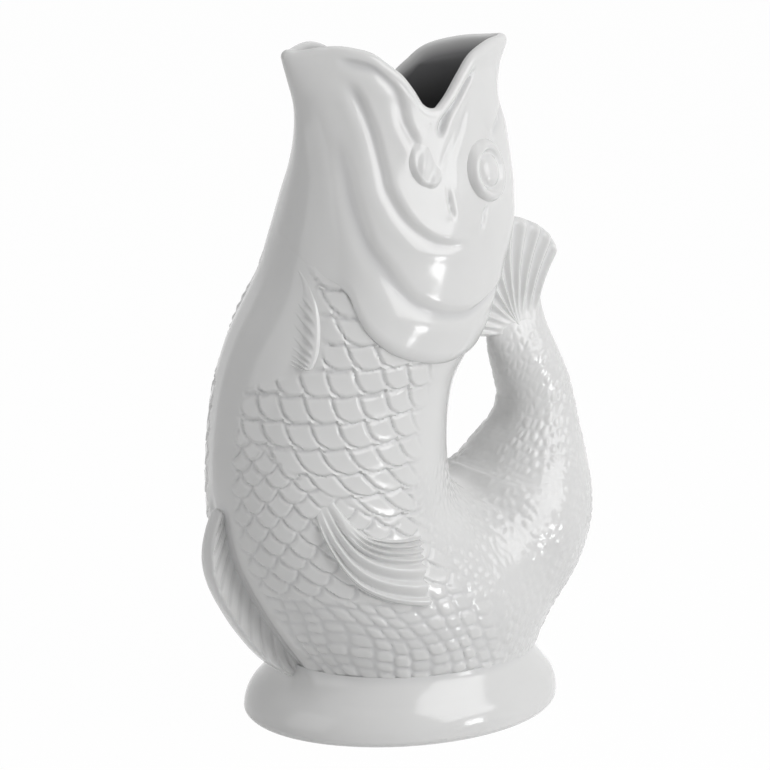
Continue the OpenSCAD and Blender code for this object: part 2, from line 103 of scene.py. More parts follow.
# Where the scales begin: height share, angle
SCALE_START = np.array([
    [0, 16], [0.2, 13], [0.36, 11], [0.47, 14], [0.49, 26], [0.505, 46], [0.532, 47.5], [0.554, 45],
    [0.576, 41.5], [0.598, 37.5], [0.619, 32.5], [0.642, 27.5], [0.668, 21], [1, 21]])
# Belly fin: place along it, height share, depth share
BELLY_FIN = np.array([
    [0, 0.275, 0.05], [0.12, 0.238, 0.42], [0.28, 0.195, 0.76], [0.45, 0.148, 0.96],
    [0.62, 0.100, 1.00], [0.78, 0.054, 0.98], [0.87, 0.026, 0.93], [0.93, 0.006, 0.80], [1, -0.022, 0.40]])
# Foot: share of its height, share of the way from the trunk's oval to its full oval
FOOT_SHARES = np.array([
    [0, 1.00], [0.12, 1.02], [0.28, 0.98], [0.45, 0.82], [0.62, 0.52], [0.78, 0.24], [0.9, 0.08], [1, 0.00]])

# Lines on the head: angle from the belly and height above the table in millimetres
COVER_LINE = np.array([
    [180, 154.5], [150, 153.5], [136, 151.7], [124, 149], [114, 147.2], [102, 147.8], [89, 150.2],
    [78, 154.2], [69, 159.4], [61, 165], [53, 170.8], [48, 176.5], [44, 181.9], [40, 188.2], [38, 193],
    [35, 201], [33, 209]])
CHEEK_LINE = np.array([
    [103, 170.7], [91, 170.9], [82, 172.6], [74.4, 175.7], [69.3, 178.8], [64.6, 182.5], [58.5, 189.5],
    [56.6, 195.6], [55.3, 202.2], [54.5, 208.9], [53.4, 215.1], [51.5, 221.0], [48, 227]])
JAW_LINE = np.array([
    [46, 232.2], [54.8, 231.1], [63.7, 229.1], [68.4, 225.7], [72.1, 221.5], [72.9, 216.5], [72.6, 211.1],
    [74.5, 206.0], [77.5, 203.4]])
LIP_CREASE = np.array([
    [122, 228.6], [114, 223.6], [106.5, 218.8], [97.3, 213.9], [91.0, 209.4], [86.4, 205.0]])
CHEEK_CREASES = [
    np.array([[88.1, 191.1], [88.4, 186.5], [89.9, 181.5], [90.8, 178.0]]),
    np.array([[114.7, 183.0], [110.0, 180.7], [108.6, 176.8], [109.0, 172.8]]),
]
LIP_FOLDS = [
    np.array([[83.5, 190.5], [86.5, 195.5], [90.0, 200.0], [95.0, 205.0], [101.0, 210.5], [106.0, 216.0]]),
    np.array([[88.5, 193.0], [92.0, 198.0], [97.0, 203.0], [104.0, 209.0], [111.0, 214.5], [117.0, 221.0]]),
]
BROW_LINE = np.array([[160, 214], [147.6, 211.3], [131.7, 207.1], [122.3, 204.3]])

# Relief of the overlapping scales: widths of the grooves at the free and the covered edge, depth of the
# second against the first, how far the lift reaches and where it is full
FREE_GROOVE, COVERED_GROOVE, COVERED_SHARE, LIFT_REACH, LIFT_START = 0.7, 1.1, 0.95, 1.9, 0.8
# Small dabs: size, width of the grooves and scatter of the middles in dabs, and the key of a cell
DAB_SIZE, DAB_GROOVE, DAB_SCATTER = 2.9, 0.55, 0.38
CELL_KEY = np.array([1, 57, 113])
ARC = 0.72  # millimetres of skin for one degree round the trunk
TAIL_STEPS = 241  # places measured along the tail's middle line
CHUNK = 20000  # points set against that line at a time
TOP_CAP, ROOT_CAP = 6.0, 12.0  # rounding past the tail's two ends
# Where one form runs into the other: margin, run and depth over which its surface sinks under its own skin
SINK_MARGIN, SINK_RUN, SINK_DEPTH = 0.8, 1.2, 1.0
POOL_AND_SHADE_DEPTH = 0.7  # depth of groove at which glaze pooling and painted shade are full
BACK_DEPTH, ROUND_BACK_DEPTH = 1.2, 1.5  # depth of a laid piece's back under the skin, long and round ones
CRISP_ANGLE = math.radians(50)
SENSOR_WIDTH = 36.0
SIDES = ((1, "left"), (-1, "right"))

# Lines on the head: points, shares of the depth and of the lift, widths at both ends, reach of the lift,
# share of the length that fades at each end, and strength left at the far end
HEAD_LINES = (
    (COVER_LINE, 0.75, 1.0, (1.3, 3.4), 15.0, 0.14, 0.6),
    (CHEEK_LINE, 0.65, 0.9, (1.4, 2.6), 10.0, 0.12, 1.0),
    (JAW_LINE[::-1], 0.7, 0.8, (1.8, 2.4), 7.0, 0.12, 1.0),
    (LIP_CREASE, 1.9, 0.8, (1.0, 1.35), 4.0, 0.22, 1.0),
    *((crease, 0.75, 0.7, (0.75, 1.0), 2.2, 0.35, 1.0) for crease in CHEEK_CREASES),
    *((fold, 0.36, 0.3, (1.1, 1.6), 3.0, 0.4, 1.0) for fold in LIP_FOLDS),
    (BROW_LINE, 0.5, 0.8, (1.8, 1.8), 8.0, 0.3, 1.0),
)
# Eye: share of its radius, height in millimetres at an eye height of 2
EYE_PROFILE = np.array([
    [0, 2.3], [0.15, 2.2], [0.3, 1.85], [0.42, 1.25], [0.5, 0.55], [0.55, 0.3], [0.61, 0.75],
    [0.68, 1.6], [0.76, 2.0], [0.85, 1.75], [0.93, 0.9], [0.97, 0.1], [1.0, -0.8]])


def smooth_at(table, x, column):
    """Value of a table's column at x, on smooth curves through its rows."""
    xs, ys = table[:, 0], table[:, column]
    x = np.asarray(x, float)
    i = np.clip(np.searchsorted(xs, x, side="right") - 1, 0, len(xs) - 2)
    slopes = np.empty(len(xs))
    slopes[1:-1] = (ys[2:] - ys[:-2]) / (xs[2:] - xs[:-2])
    slopes[0] = (ys[1] - ys[0]) / (xs[1] - xs[0])
    slopes[-1] = (ys[-1] - ys[-2]) / (xs[-1] - xs[-2])
    step = xs[i + 1] - xs[i]
    s = (x - xs[i]) / step
    return (ys[i] * (2 * s**3 - 3 * s**2 + 1) + slopes[i] * step * (s**3 - 2 * s**2 + s)
            + ys[i + 1] * (3 * s**2 - 2 * s**3) + slopes[i + 1] * step * (s**3 - s**2))


def ease(x, low=0.0, high=1.0):
    """Smooth step from 0 at low to 1 at high."""
    t = np.clip((x - low) / (high - low), 0, 1)
    return t * t * (3 - 2 * t)


def bell(x, width):
    """Smooth hump: 1 at 0, and near 0 from twice the width on."""
    return np.exp(-(x / width) ** 2)


def rounded(gap, radius):
    """Share of full thickness at a gap from an edge that is rounded with a radius."""
    return np.sqrt(1 - (1 - np.clip(gap / radius, 0, 1)) ** 2)


def length_of(v):
    """Lengths of vectors."""
    return np.sqrt((v * v).sum(-1))


def curve_through(points, steps):
    """Points spaced along a smooth curve through the given ones."""
    t = np.arange(len(points), dtype=float)
    table = np.column_stack([t, points])
    s = np.linspace(0, t[-1], steps)
    return np.column_stack([smooth_at(table, s, c) for c in range(1, table.shape[1])])


def distance_to_curve(x, y, curve):
    """Signed distance from points to a polyline, positive on its right, and the share of the way along it."""
    a, d = curve[:-1], np.diff(curve, axis=0)
    size = (d * d).sum(1)
    best = np.full(x.shape, np.inf)
    side, along = np.zeros(x.shape), np.zeros(x.shape)
    for k in range(len(a)):
        px, py = x - a[k, 0], y - a[k, 1]
        t = np.clip((px * d[k, 0] + py * d[k, 1]) / size[k], 0, 1)
        dx, dy = px - t * d[k, 0], py - t * d[k, 1]
        dist = dx * dx + dy * dy
        near = dist < best
        best = np.where(near, dist, best)
        side = np.where(near, np.sign(dx * d[k, 1] - dy * d[k, 0]), side)
        along = np.where(near, (k + t) / len(a), along)
    return np.sqrt(best) * np.where(side == 0, 1, side), along


def joined(f_own, g_own, f_other, g_other, fillet):
    """Distance, direction and share that stays of two shapes run together, seen from the first one's side.
    Past the margin inside the other shape, the surface sinks under its own skin."""
    gap = f_other - f_own
    m = np.clip(1 - np.abs(gap) / fillet, 0, 1)
    low = np.minimum(f_own, f_other) - m * m * fillet / 4
    h = (0.5 + 0.5 * np.clip(gap / fillet, -1, 1))[:, None]
    stay = ease(gap, -SINK_MARGIN - SINK_RUN, -SINK_MARGIN)
    value = stay * low + (1 - stay) * (f_own + SINK_DEPTH)
    grad = stay[:, None] * (h * g_own + (1 - h) * g_other) + (1 - stay[:, None]) * g_own
    return value, grad, stay


def relax_to(p, field, rounds=4):
    """Moves points on to the surface where a field is zero. Gives points, directions and what stays."""
    longest_step = 4.0
    for _ in range(rounds):
        f, g, _ = field(p)
        size = np.maximum((g * g).sum(1), 0.05)
        p = p - g * (np.clip(f, -longest_step, longest_step) / size)[:, None]
    _, g, stay = field(p)
    return p, g / np.maximum(length_of(g), 1e-6)[:, None], stay


class JugForm:
    """Shape of the jug in millimetres, worked out from the sizes of the add-on."""

    def __init__(self, sizes, relief):
        for group in (sizes, relief):
            for name in type(group).__annotations__:
                value = getattr(group, name)
                setattr(self, name, value if isinstance(value, int) else value / MM)
        q = self.tail_q = np.linspace(0, 1, TAIL_STEPS)
        self.tail_line = np.column_stack([
            self.foot_mid_x + self.tail_reach * smooth_at(TAIL_SHARES, q, 1),
            self.foot_h + self.tail_h * smooth_at(TAIL_SHARES, q, 2)])
        step = np.gradient(self.tail_line, q, axis=0)
        self.tail_speed = length_of(step)
        self.tail_dir = step / self.tail_speed[:, None]
        slim_end = 1 - 0.45 * ease(q, 0.78, 0.97)
        thick = self.tail_root_d * smooth_at(TAIL_SHARES, q, 3)
        wide = self.tail_root_w * smooth_at(TAIL_SHARES, q, 4) * slim_end
        run = np.concatenate([[0], np.cumsum(length_of(np.diff(self.tail_line, axis=0)))])
        self.tail_columns = (*self.tail_line.T, *self.tail_dir.T, thick, wide, run)

    def height_of(self, share):
        return self.foot_h + share * self.trunk_h

    def rim_z(self, angle):
        return self.height_of(smooth_at(RIM_SHARES, angle, 1))

    def gill_z(self, angle):
        return self.height_of(smooth_at(GILL_SHARES, angle, 1))

    def section(self, z):
        """Middle, half length and half width of the trunk's oval."""
        share = (z - self.foot_h) / self.trunk_h
        return (self.foot_mid_x + self.trunk_len * smooth_at(TRUNK_SHARES, share, 1),
                self.trunk_len * smooth_at(TRUNK_SHARES, share, 2),
                self.trunk_w * smooth_at(TRUNK_SHARES, share, 3))

    def skin(self, angle, z, out=0.0):
        """Points on the trunk at angles in degrees from the belly."""
        mid, half_len, half_w = self.section(z)
        a = np.radians(angle)
        share = (z - self.foot_h) / self.trunk_h
        front, rear = (smooth_at(PINCH_SHARES, share, column) for column in (1, 2))
        taken = np.maximum(np.where(np.cos(a) > 0, front, rear), 0)
        half_w = half_w * (1 - taken * np.abs(np.cos(a)) ** PINCH_POWER)
        return np.stack([mid - (half_len + out) * np.cos(a), -(half_w + out) * np.sin(a), z + 0 * a], -1)

    def trunk_field(self, p):
        """Distance from the trunk's skin and direction away from it, with slopes over 1 mm of height."""
        z = p[:, 2]
        mid, half_len, half_w = self.section(z)
        up, down = self.section(z + 0.5), self.section(z - 0.5)
        d_mid, d_len, d_w = (a - b for a, b in zip(up, down))
        u, v = (p[:, 0] - mid) / half_len, p[:, 1] / half_w
        r = np.maximum(np.hypot(u, v), 1e-3)
        fall = u * (d_mid + u * d_len) / half_len + v * v * d_w / half_w
        return self.distance(r, np.stack([u / half_len, v / half_w, -fall], -1) / r[:, None])

    @staticmethod
    def distance(r, grad):
        """Distance and direction from a measure that is 1 on the skin, and its slope."""
        size = length_of(grad)
        return (r - 1) / size, grad / size[:, None]

    def trunk_place(self, p):
        """Angle from the belly, folded to 0..180, and height."""
        mid, half_len, half_w = self.section(p[:, 2])
        angle = np.degrees(np.arctan2(np.abs(p[:, 1]) / half_w, -(p[:, 0] - mid) / half_len))
        return angle, p[:, 2]

    def tail_place(self, p):
        """Share of the way along the tail at the place nearest to each point."""
        nearest = np.empty(len(p), int)
        for i in range(0, len(p), CHUNK):
            part = p[i:i + CHUNK]
            d = (part[:, 0:1] - self.tail_line[:, 0]) ** 2 + (part[:, 2:3] - self.tail_line[:, 1]) ** 2
            nearest[i:i + CHUNK] = d.argmin(1)
        along = ((p[:, [0, 2]] - self.tail_line[nearest]) * self.tail_dir[nearest]).sum(1)
        return self.tail_q[nearest] + along / self.tail_speed[nearest]

    def tail_at(self, q):
        """Middle, direction, half thickness, half width and length so far of the tail."""
        return [np.interp(np.clip(q, 0, 1), self.tail_q, column) for column in self.tail_columns]

    def tail_field(self, p):
        """Distance from the tail's skin and direction away from it."""
        q = self.tail_place(p)
        x, z, tx, tz, thick, wide, _ = self.tail_at(q)
        dx, dz = p[:, 0] - x, p[:, 2] - z
        side = dx * tz - dz * tx
        past = np.where((q > 1) | (q < 0), dx * tx + dz * tz, 0.0)
        cap = np.where(q > 1, TOP_CAP, ROOT_CAP)
        u, v, w = side / thick, p[:, 1] / wide, past / cap
        r = np.maximum(np.sqrt(u * u + v * v + w * w), 1e-3)
        step = 0.01
        after, before = self.tail_at(q + step), self.tail_at(q - step)
        d_thick, d_wide, run = (a - b for a, b in zip(after[4:], before[4:]))
        taper = -(u * u * d_thick / thick + v * v * d_wide / wide) / np.maximum(run, 1e-3)
        g_side, g_run = u / thick, w / cap + taper
        grad = np.stack([g_side * tz + g_run * tx, v / wide, -g_side * tx + g_run * tz], -1) / r[:, None]
        return self.distance(r, grad)

    def fin_point(self, table, s):
        """Places in the middle plane for shares of the tail fin's reach and rise."""
        return np.column_stack([
            self.foot_mid_x + self.tail_fin_reach * smooth_at(table, s, 1),
            self.foot_h + self.tail_h + self.tail_fin_rise * smooth_at(table, s, 2)])


# Relief on the glazed skin, in millimetres out of the plain form
def cell_noise(i, j, seed=0.0):
    """A fixed number between -1 and 1 for each plate of a pattern, read off a very steep sine."""
    s = np.sin(i * 12.9898 + j * 78.233 + seed * 37.719) * 43758.5453
    return 2 * (s - np.floor(s)) - 1


def plate_height(form, free, covered):
    """Height on an overlapping plate from the distances to its free edge and to the edge lying over it."""
    at_free, at_covered = 1 - ease(free, 0, FREE_GROOVE), 1 - ease(covered, 0, COVERED_GROOVE)
    valley = np.maximum(at_free, at_covered * COVERED_SHARE)
    lift = form.scale_rise * np.exp(-np.maximum(free, 0) / LIFT_REACH) * ease(free, 0, LIFT_START)
    return lift - form.scale_depth * valley


def slanted_scales(form, angle, z):
    """Broad scales of the upper flank in slanting files, each over its lower and belly-side neighbours."""
    wide, high, corner = 12.5, 8.6, 5.4
    top, first_file, slant, bend = 114.0, 54.9, 0.416, 0.06
    b = (top - z) / high
    u = (angle - first_file) / wide - slant * b - bend * b * np.abs(b)
    iu = np.floor(u)
    b = b + 0.13 * (u - iu) ** 2 + 0.06 * cell_noise(iu, np.floor(b), 4)
    ib = np.floor(b)
    across = wide * ARC * 0.9
    left = (u - iu) * across
    low = (1 - (b - ib)) * high
    cu, cb = corner - left, corner - low
    free = np.where((cu > 0) & (cb > 0), corner - np.hypot(cu, cb), np.minimum(left, low))
    right = np.where(low < corner, np.hypot(across - left + corner, corner - low) - corner, across - left)
    own = plate_height(form, free, np.minimum(right, high - low))
    under = plate_height(form, low, np.maximum(-free, 0))
    return np.where(free >= 0, own, under) + 0.1 * cell_noise(iu, ib)


def round_scales(form, angle, z):
    """Rows of round scales on the middle of the flank, each row over the one below it."""
    wide, high, top, bow = 14.5, 4.6, 77.0, 1.0
    x, y = angle / wide, (top - z) / high
    row = np.floor(y)

    def edge(j):
        """Lower edge of row j, the share by which its slope shortens a distance, and the scale's middle."""
        centre = np.round(x - 0.5 * (j % 2)) + 0.5 * (j % 2)
        d = np.abs(x - centre) / 0.5
        slope = 2.0 * bow * d / 0.5 * high / (wide * ARC)
        drop = 0.12 * cell_noise(centre, j, 4) * (1 - d)
        return j + 1 + drop - bow * d ** 2, 1 / np.sqrt(1 + slope * slope), centre

    here, here_s, here_c = edge(row)
    above, above_s, _ = edge(row - 1)
    below, below_s, below_c = edge(row + 1)
    mine = y <= here
    free = np.where(mine, (here - y) * here_s, (below - y) * below_s) * high
    covered = np.where(mine, (y - above) * above_s, (y - here) * here_s) * high
    centre = np.where(mine, here_c, below_c)
    return plate_height(form, free, covered) + 0.1 * cell_noise(centre, np.where(mine, row, row + 1), 1)


def nuggets(form, angle, z):
    """Small rounded blocks in wavering files near the foot."""
    wide, high, corner, uneven = 5.4, 4.9, 1.9, 0.16
    u = angle * ARC / wide + 0.3 * np.sin(z / 5.5 + angle / 14) + 0.12 * np.sin(angle / 5)
    iu = np.floor(u)
    v = z / high * (1 + 0.12 * cell_noise(iu, 1, 8)) + cell_noise(iu, 0, 6) + 0.2 * np.sin(angle / 9)
    iv = np.floor(v)
    beside = np.minimum(u - iu, iu + 1 - u) * wide
    low = (v - iv - uneven * cell_noise(iu, iv, 2)) * high
    top = (iv + 1 - v + uneven * cell_noise(iu, iv + 1, 2)) * high
    upright = np.minimum(low, top)
    inside = corner - np.hypot(np.maximum(corner - beside, 0), np.maximum(corner - upright, 0))
    dome = 0.65 * ease(inside, 0, 0.75) + 0.35 * ease(inside, 0, corner)
    return form.scale_depth * (1.1 * dome * (0.8 + 0.3 * cell_noise(iu, iv, 3)) - 0.9)


def pebbles(place):
    """Loose bumps round scattered middles: 0 in the grooves, 1 on top. Places are in cells."""
    cell = np.floor(place).astype(int)
    first = np.full(len(place), 9.0)
    second = first.copy()
    for step in np.ndindex(3, 3, 3):
        corner = cell + np.array(step) - 1
        key = corner @ CELL_KEY
        middle = [corner[:, k] + 0.5 + DAB_SCATTER * cell_noise(key, k * 7.0, 5) for k in range(3)]
        d = length_of(place - np.stack(middle, -1))
        second = np.minimum(second, np.maximum(first, d))
        first = np.minimum(first, d)
    return ease(second - first, 0, DAB_GROOVE) * (1 - 0.6 * ease(first, 0.2, 0.9))


def dabs(form, p):
    """Small low strokes of slip all over the tail and the rear of the body."""
    x, y, z = p.T
    lean = np.stack([x - 0.5 * z, 1.2 * y, 0.6 * z + 0.3 * x], -1)
    patchy = 0.65 + 0.35 * np.sin(x / 7 + 1) * np.sin(z / 9 + y / 8)
    off_middle = 0.35 + 0.65 * ease(np.abs(y), 3, 14)
    return form.dab_height * (pebbles(lean / DAB_SIZE) - 0.5) * patchy * off_middle


def body_relief(form, angle, z, p):
    """Scales of the flank, dabs of the rear, and the ridges down the belly and the back. Heights are in
    millimetres above the table, and angles in degrees from the belly."""
    sway = 0.9 * np.sin(z / 15 + 1.3) + 0.7 * np.sin(angle / 13 + z / 27)
    bob = 0.7 * np.sin(angle / 12 + 2) + 0.45 * np.sin(z / 9 + angle / 23)
    a, y = angle + 1.35 + sway, z + bob
    upper = slanted_scales(form, angle + 0.6 * sway, z + 0.6 * bob)
    middle = round_scales(form, a + 1.0, y)
    lower = nuggets(form, a, y)
    upper_border = 117.5 - 0.42 * angle
    to_upper = ease(y, upper_border - 1, upper_border + 1)
    to_lower = 1 - ease(y, 51, 54)
    h = upper * to_upper + (1 - to_upper) * (lower * to_lower + middle * (1 - to_lower))
    start = np.interp((z - form.foot_h) / form.trunk_h, SCALE_START[:, 0], SCALE_START[:, 1])
    scaled = ease(angle - start, 0, 5) * (1 - ease(angle, 100, 116))
    rear = ease(angle, 98, 114) * (1 - ease(z, 84, 100))
    h = h * scaled + rear * dabs(form, p)
    ridge = bell(angle, 7) * 0.8 * ease(z, 80, 95) * (1 - ease(z, 150, 165))
    beside_fin = 0.9 * bell(angle - 6, 4) * (1 - ease(z, 76, 88))
    spine = ease(angle, 150, 180) * ease(z, 80, 95)
    return h + (ridge - beside_fin) + 0.25 * spine * np.cos(np.radians((angle - 180) * 14))


def line_relief(angle, z, points, depth, proud, width, reach, fade, left_over):
    """Groove along a drawn line, with the surface on its right standing proud and running out."""
    line = curve_through(points * [ARC, 1.0], 8 * len(points))
    d, along = distance_to_curve(angle * ARC, z, line)
    wide = width[0] + (width[1] - width[0]) * along
    hold = ease(along, 0, fade) * (1 - ease(along, 1 - fade, 1)) * (1 + (left_over - 1) * along)
    inner = proud * np.exp(-np.maximum(d, 0) / reach) * ease(d, -0.4, wide * 1.7)
    outer = 0.25 * proud * bell(d + wide * 2.6, wide * 1.4)
    return (inner + outer - depth * bell(d + 0.25, wide)) * hold


def head_relief(form, angle, z):
    """Lines, creases and plates of the head, fading out under the lip."""
    belly_ridge = 0.5 * bell(angle, 9) * (1 - ease(z, 205, 225))
    h = belly_ridge
    for points, depth, proud, *shape in HEAD_LINES:
        h = h + line_relief(angle, z, points, form.line_depth * depth, form.line_proud * proud, *shape)
    below_rim = form.rim_z(angle) - form.wall / 2 - z
    return h * ease(below_rim, 0, 2.5)


def outer_relief(form, p):
    """Relief where body and tail run together."""
    gap = form.trunk_field(p)[0] - form.tail_field(p)[0]
    share = 0.5 + 0.5 * np.clip(gap / 10, -1, 1)
    angle, z = form.trunk_place(p)
    h = np.zeros(len(p))
    body, tail = share < 1, share > 0
    h[body] = (1 - share[body]) * body_relief(form, angle[body], z[body], p[body])
    fading = 1 - 0.75 * ease(form.tail_place(p[tail]), 0.82, 0.96)
    h[tail] += share[tail] * dabs(form, p[tail]) * fading
    return h * (1 - bell(gap, 6.0) * ease(p[:, 2], 70, 84))


def pooled_and_shaded(h):
    """How much glaze gathers and how much shade is painted: 1 in the bottom of a groove, below 0 on a thin
    proud edge.
    """
    return np.clip(-h / POOL_AND_SHADE_DEPTH, -0.6, 1.3)


# Meshes
def grid_faces(rows, cols, wrap_cols=False, wrap_rows=False):
    """Quads of a grid of points, closed round its columns or its rows where that is asked for."""
    i = np.arange(rows if wrap_rows else rows - 1)[:, None]
    j = np.arange(cols if wrap_cols else cols - 1)[None, :]
    i2, j2 = (i + 1) % rows, (j + 1) % cols
    return np.stack([i * cols + j, i * cols + j2, i2 * cols + j2, i2 * cols + j], -1).reshape(-1, 4)


def fan_faces(ring, centre):
    """Triangles from a closed ring of points to one point."""
    return np.stack([ring, np.roll(ring, -1), np.full(len(ring), centre)], -1)


def band_faces(ring, step):
    """Faces between a closed ring of points and the same ring a step further on in the list."""
    after = np.roll(ring, -1)
    return np.stack([ring, after, after + step, ring + step], -1)


def capped(grid):
    """Points and faces of a grid of closed rings, with a middle point that closes each end."""
    rows, cols = grid.shape[:2]
    count, ring = rows * cols, np.arange(cols)
    points = np.concatenate([grid.reshape(-1, 3), grid[0].mean(0)[None], grid[-1].mean(0)[None]])
    return points, [grid_faces(rows, cols, wrap_cols=True), fan_faces(ring[::-1], count),
                    fan_faces(count - cols + ring, count + 1)]


def welded(points, groups):
    """Joins points that lie on each other, and gives the new place of each old point too."""
    _, first, index = np.unique(np.round(points, 4), axis=0, return_index=True, return_inverse=True)
    index = index.ravel()
    out = []
    for faces in groups:
        faces = index[faces]
        whole = (faces != np.roll(faces, -1, axis=1)).all(1)
        corners = [[*dict.fromkeys(face.tolist())] for face in faces[~whole]]
        triangles = [face for face in corners if len(face) == 3]
        out += [faces[whole]] + ([np.array(triangles)] if triangles else [])
    return points[first], [group for group in out if len(group)], index


def signed_volume(points, groups):
    """Volume that the faces enclose, below 0 where they look inwards."""
    total = 0.0
    for faces in groups:
        a = points[faces[:, 0]]
        for k in range(1, faces.shape[1] - 1):
            total += (np.cross(points[faces[:, k]], points[faces[:, k + 1]]) * a).sum()
    return total / 6


def make_piece(node, points, groups, pool, inner=None):
    """Glazed mesh object from points in millimetres, laid on the frame, that stands for a CAD node."""
    if signed_volume(points, groups) < 0:
        groups = [faces[:, ::-1] for faces in groups]
    name = "glazed_" + node
    mesh = bpy.data.meshes.new(name)
    sizes = np.concatenate([np.full(len(g), g.shape[1]) for g in groups])
    mesh.vertices.add(len(points))
    mesh.vertices.foreach_set("co", (points * MM).astype(np.float32).ravel())
    mesh.loops.add(int(sizes.sum()))
    mesh.loops.foreach_set("vertex_index", np.concatenate([g.ravel() for g in groups]).astype(np.int32))
    mesh.polygons.add(len(sizes))
    mesh.polygons.foreach_set("loop_start", np.concatenate([[0], np.cumsum(sizes)[:-1]]).astype(np.int32))
    mesh.update(calc_edges=True)
    mesh.validate()
    mesh.polygons.foreach_set("use_smooth", np.ones(len(mesh.polygons), bool))
    inner = np.zeros(len(points)) if inner is None else inner
    # The first attribute greys the glaze in grooves, for glaze pooling and painted shade; the second is
    # painted shade inside the jug.
    for label, values in (("pool", pool), ("inner", inner)):
        layer = mesh.attributes.new(label, 'FLOAT', 'POINT')
        layer.data.foreach_set("value", values.astype(np.float32))
    mesh.set_sharp_from_angle(angle=CRISP_ANGLE)
    piece = bpy.data.objects.new(name, mesh)
    bpy.context.scene.collection.objects.link(piece)
    mesh.materials.append(glaze_material())
    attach(piece, "root")
    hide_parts(node)


def grid_normals(grid):
    """Outward directions of a grid whose rows run upwards and whose columns run round the jug."""
    n = np.cross(np.roll(grid, -1, 1) - np.roll(grid, 1, 1), np.gradient(grid, axis=0))
    return n / np.maximum(length_of(n), 1e-9)[..., None]


def calmed(points, shape, rounds=5):
    """Evens out a grid whose columns run round the jug, apart from its first and last rows."""
    grid = points.reshape(shape)
    for _ in range(rounds):
        near = (np.roll(grid, 1, 1) + np.roll(grid, -1, 1))[1:-1] + grid[2:] + grid[:-2]
        grid = np.concatenate([grid[:1], 0.5 * grid[1:-1] + 0.125 * near, grid[-1:]])
    return grid.reshape(-1, 3)


def turns(cols):
    """Angles round the jug from the belly in degrees, as they are and folded to 0..180."""
    a = np.arange(cols) * 360 / cols
    return a, np.minimum(a, 360 - a)


def run_together(form, grid, own_field, other_field):
    """Moves a form's grid on to the skin that it shares with the other form. Gives points and relief."""
    def field(p):
        return joined(*own_field(p), *other_field(p), form.tail_fillet)

    points, normal, stay = relax_to(grid.reshape(-1, 3), field)
    points, normal = calmed(points, grid.shape), calmed(normal, grid.shape)
    h = outer_relief(form, points) * stay
    return points + normal * h[:, None], h


def build_body(form):
    """Scaled trunk from inside the foot's top to under the gill cover, with its inner wall."""
    cols, rows, inner_rows, under_cover, into_foot = 420, 208, 24, 1.5, 0.8
    a, folded = turns(cols)
    top, low = form.gill_z(folded) + under_cover, form.foot_h - into_foot
    v = np.linspace(0, 1, rows)[:, None]
    outer = form.skin(a, low + v * (top - low))
    outer, h = run_together(form, outer, form.trunk_field, form.tail_field)
    v = np.linspace(1, 0, inner_rows)[:, None]
    inner = form.skin(a, low + v * (top - low), -form.wall).reshape(-1, 3)
    faces = grid_faces(rows + inner_rows, cols, wrap_cols=True, wrap_rows=True)
    # Painted shade: the inner wall is dark grey. Outside, grooves grey for glaze pooling and painted shade.
    inside_shade = np.repeat([0.0, 1.0], [len(outer), len(inner)])
    pool = np.concatenate([pooled_and_shaded(h), np.zeros(len(inner))])
    make_piece("body_shell", np.concatenate([outer, inner]), [faces], pool, inside_shade)


def build_head(form):
    """Head from the gill cover's edge to the lip, with its inner wall."""
    cols, rows, roll_rows, lip_rows, inner_rows = 420, 170, 8, 10, 26
    a, folded = turns(cols)
    gill, rim = form.gill_z(folded), form.rim_z(folded)
    r = form.wall / 2

    # From under the gill cover's edge, over the edge that rolls out, and up the side to the lip
    tuck_up, tuck_in = 0.3, 1.0
    start = form.skin(a[None, :], gill[None, :] + tuck_up, -tuck_in)
    t = np.linspace(0, 1, roll_rows)[:, None] * math.pi / 2
    roll_z = gill + form.cover_roll * (1 - np.cos(t))
    flush, proud_from = 28, 72  # angles up to and from which the cover's edge lies flush and stands proud
    proud = form.cover_proud * (0.04 + 0.96 * ease(folded, flush, proud_from))
    roll = form.skin(a, roll_z, proud * np.sin(t))
    v = np.linspace(0, 1, rows + 1)[1:, None]
    base = gill + form.cover_roll
    side_z = base + v * (rim - r - base)
    side = form.skin(a, side_z, proud * (1 - v) ** 3)
    outer = np.concatenate([start, roll, side])
    z_all = np.concatenate([start[..., 2], roll_z, side_z])
    normal = grid_normals(np.concatenate([roll[:1], roll, side]))
    h = head_relief(form, np.broadcast_to(folded, z_all.shape).ravel(), z_all.ravel()).reshape(z_all.shape)
    h = h * ease(z_all - gill, 0.5, 3.0)
    outer = outer + normal * h[..., None]

    # Round lip on the outer edge, and the inner wall down from it
    n = normal[-1]
    centre = outer[-1] - r * n
    along = np.roll(centre, -1, 0) - np.roll(centre, 1, 0)
    along -= n * (along * n).sum(1)[:, None]
    up = np.cross(n, along)
    up /= length_of(up)[:, None]
    up *= np.sign(up[:, 2:3])
    t = np.linspace(0, math.pi, lip_rows + 2)[1:]
    lip = np.stack([centre + r * (math.cos(x) * n + math.sin(x) * up) for x in t])
    v = np.linspace(0, 1, inner_rows + 1)[1:, None]
    drift = lip[-1] - form.skin(a, rim - r, -form.wall)
    inner = form.skin(a, rim - r + v * (gill - (rim - r)), -form.wall) + drift * (1 - v)[..., None] ** 2

    points = np.concatenate([outer, lip, inner])
    # Painted shade: darker over the lip's inner half and dark grey on the inner wall. Outside, grooves grey
    # for glaze pooling and painted shade.
    darkening = 0.5 * ease(np.linspace(0, 1, len(lip)), 0.5, 1)
    inside_shade = np.repeat(np.concatenate([np.zeros(len(outer)), darkening, np.ones(len(inner))]), cols)
    pool = np.concatenate([pooled_and_shaded(h).ravel(), np.zeros((len(points) - len(outer)) * cols)])
    faces = grid_faces(len(points), cols, wrap_cols=True, wrap_rows=True)
    make_piece("head_shell", points.reshape(-1, 3), [faces], pool, inside_shade)


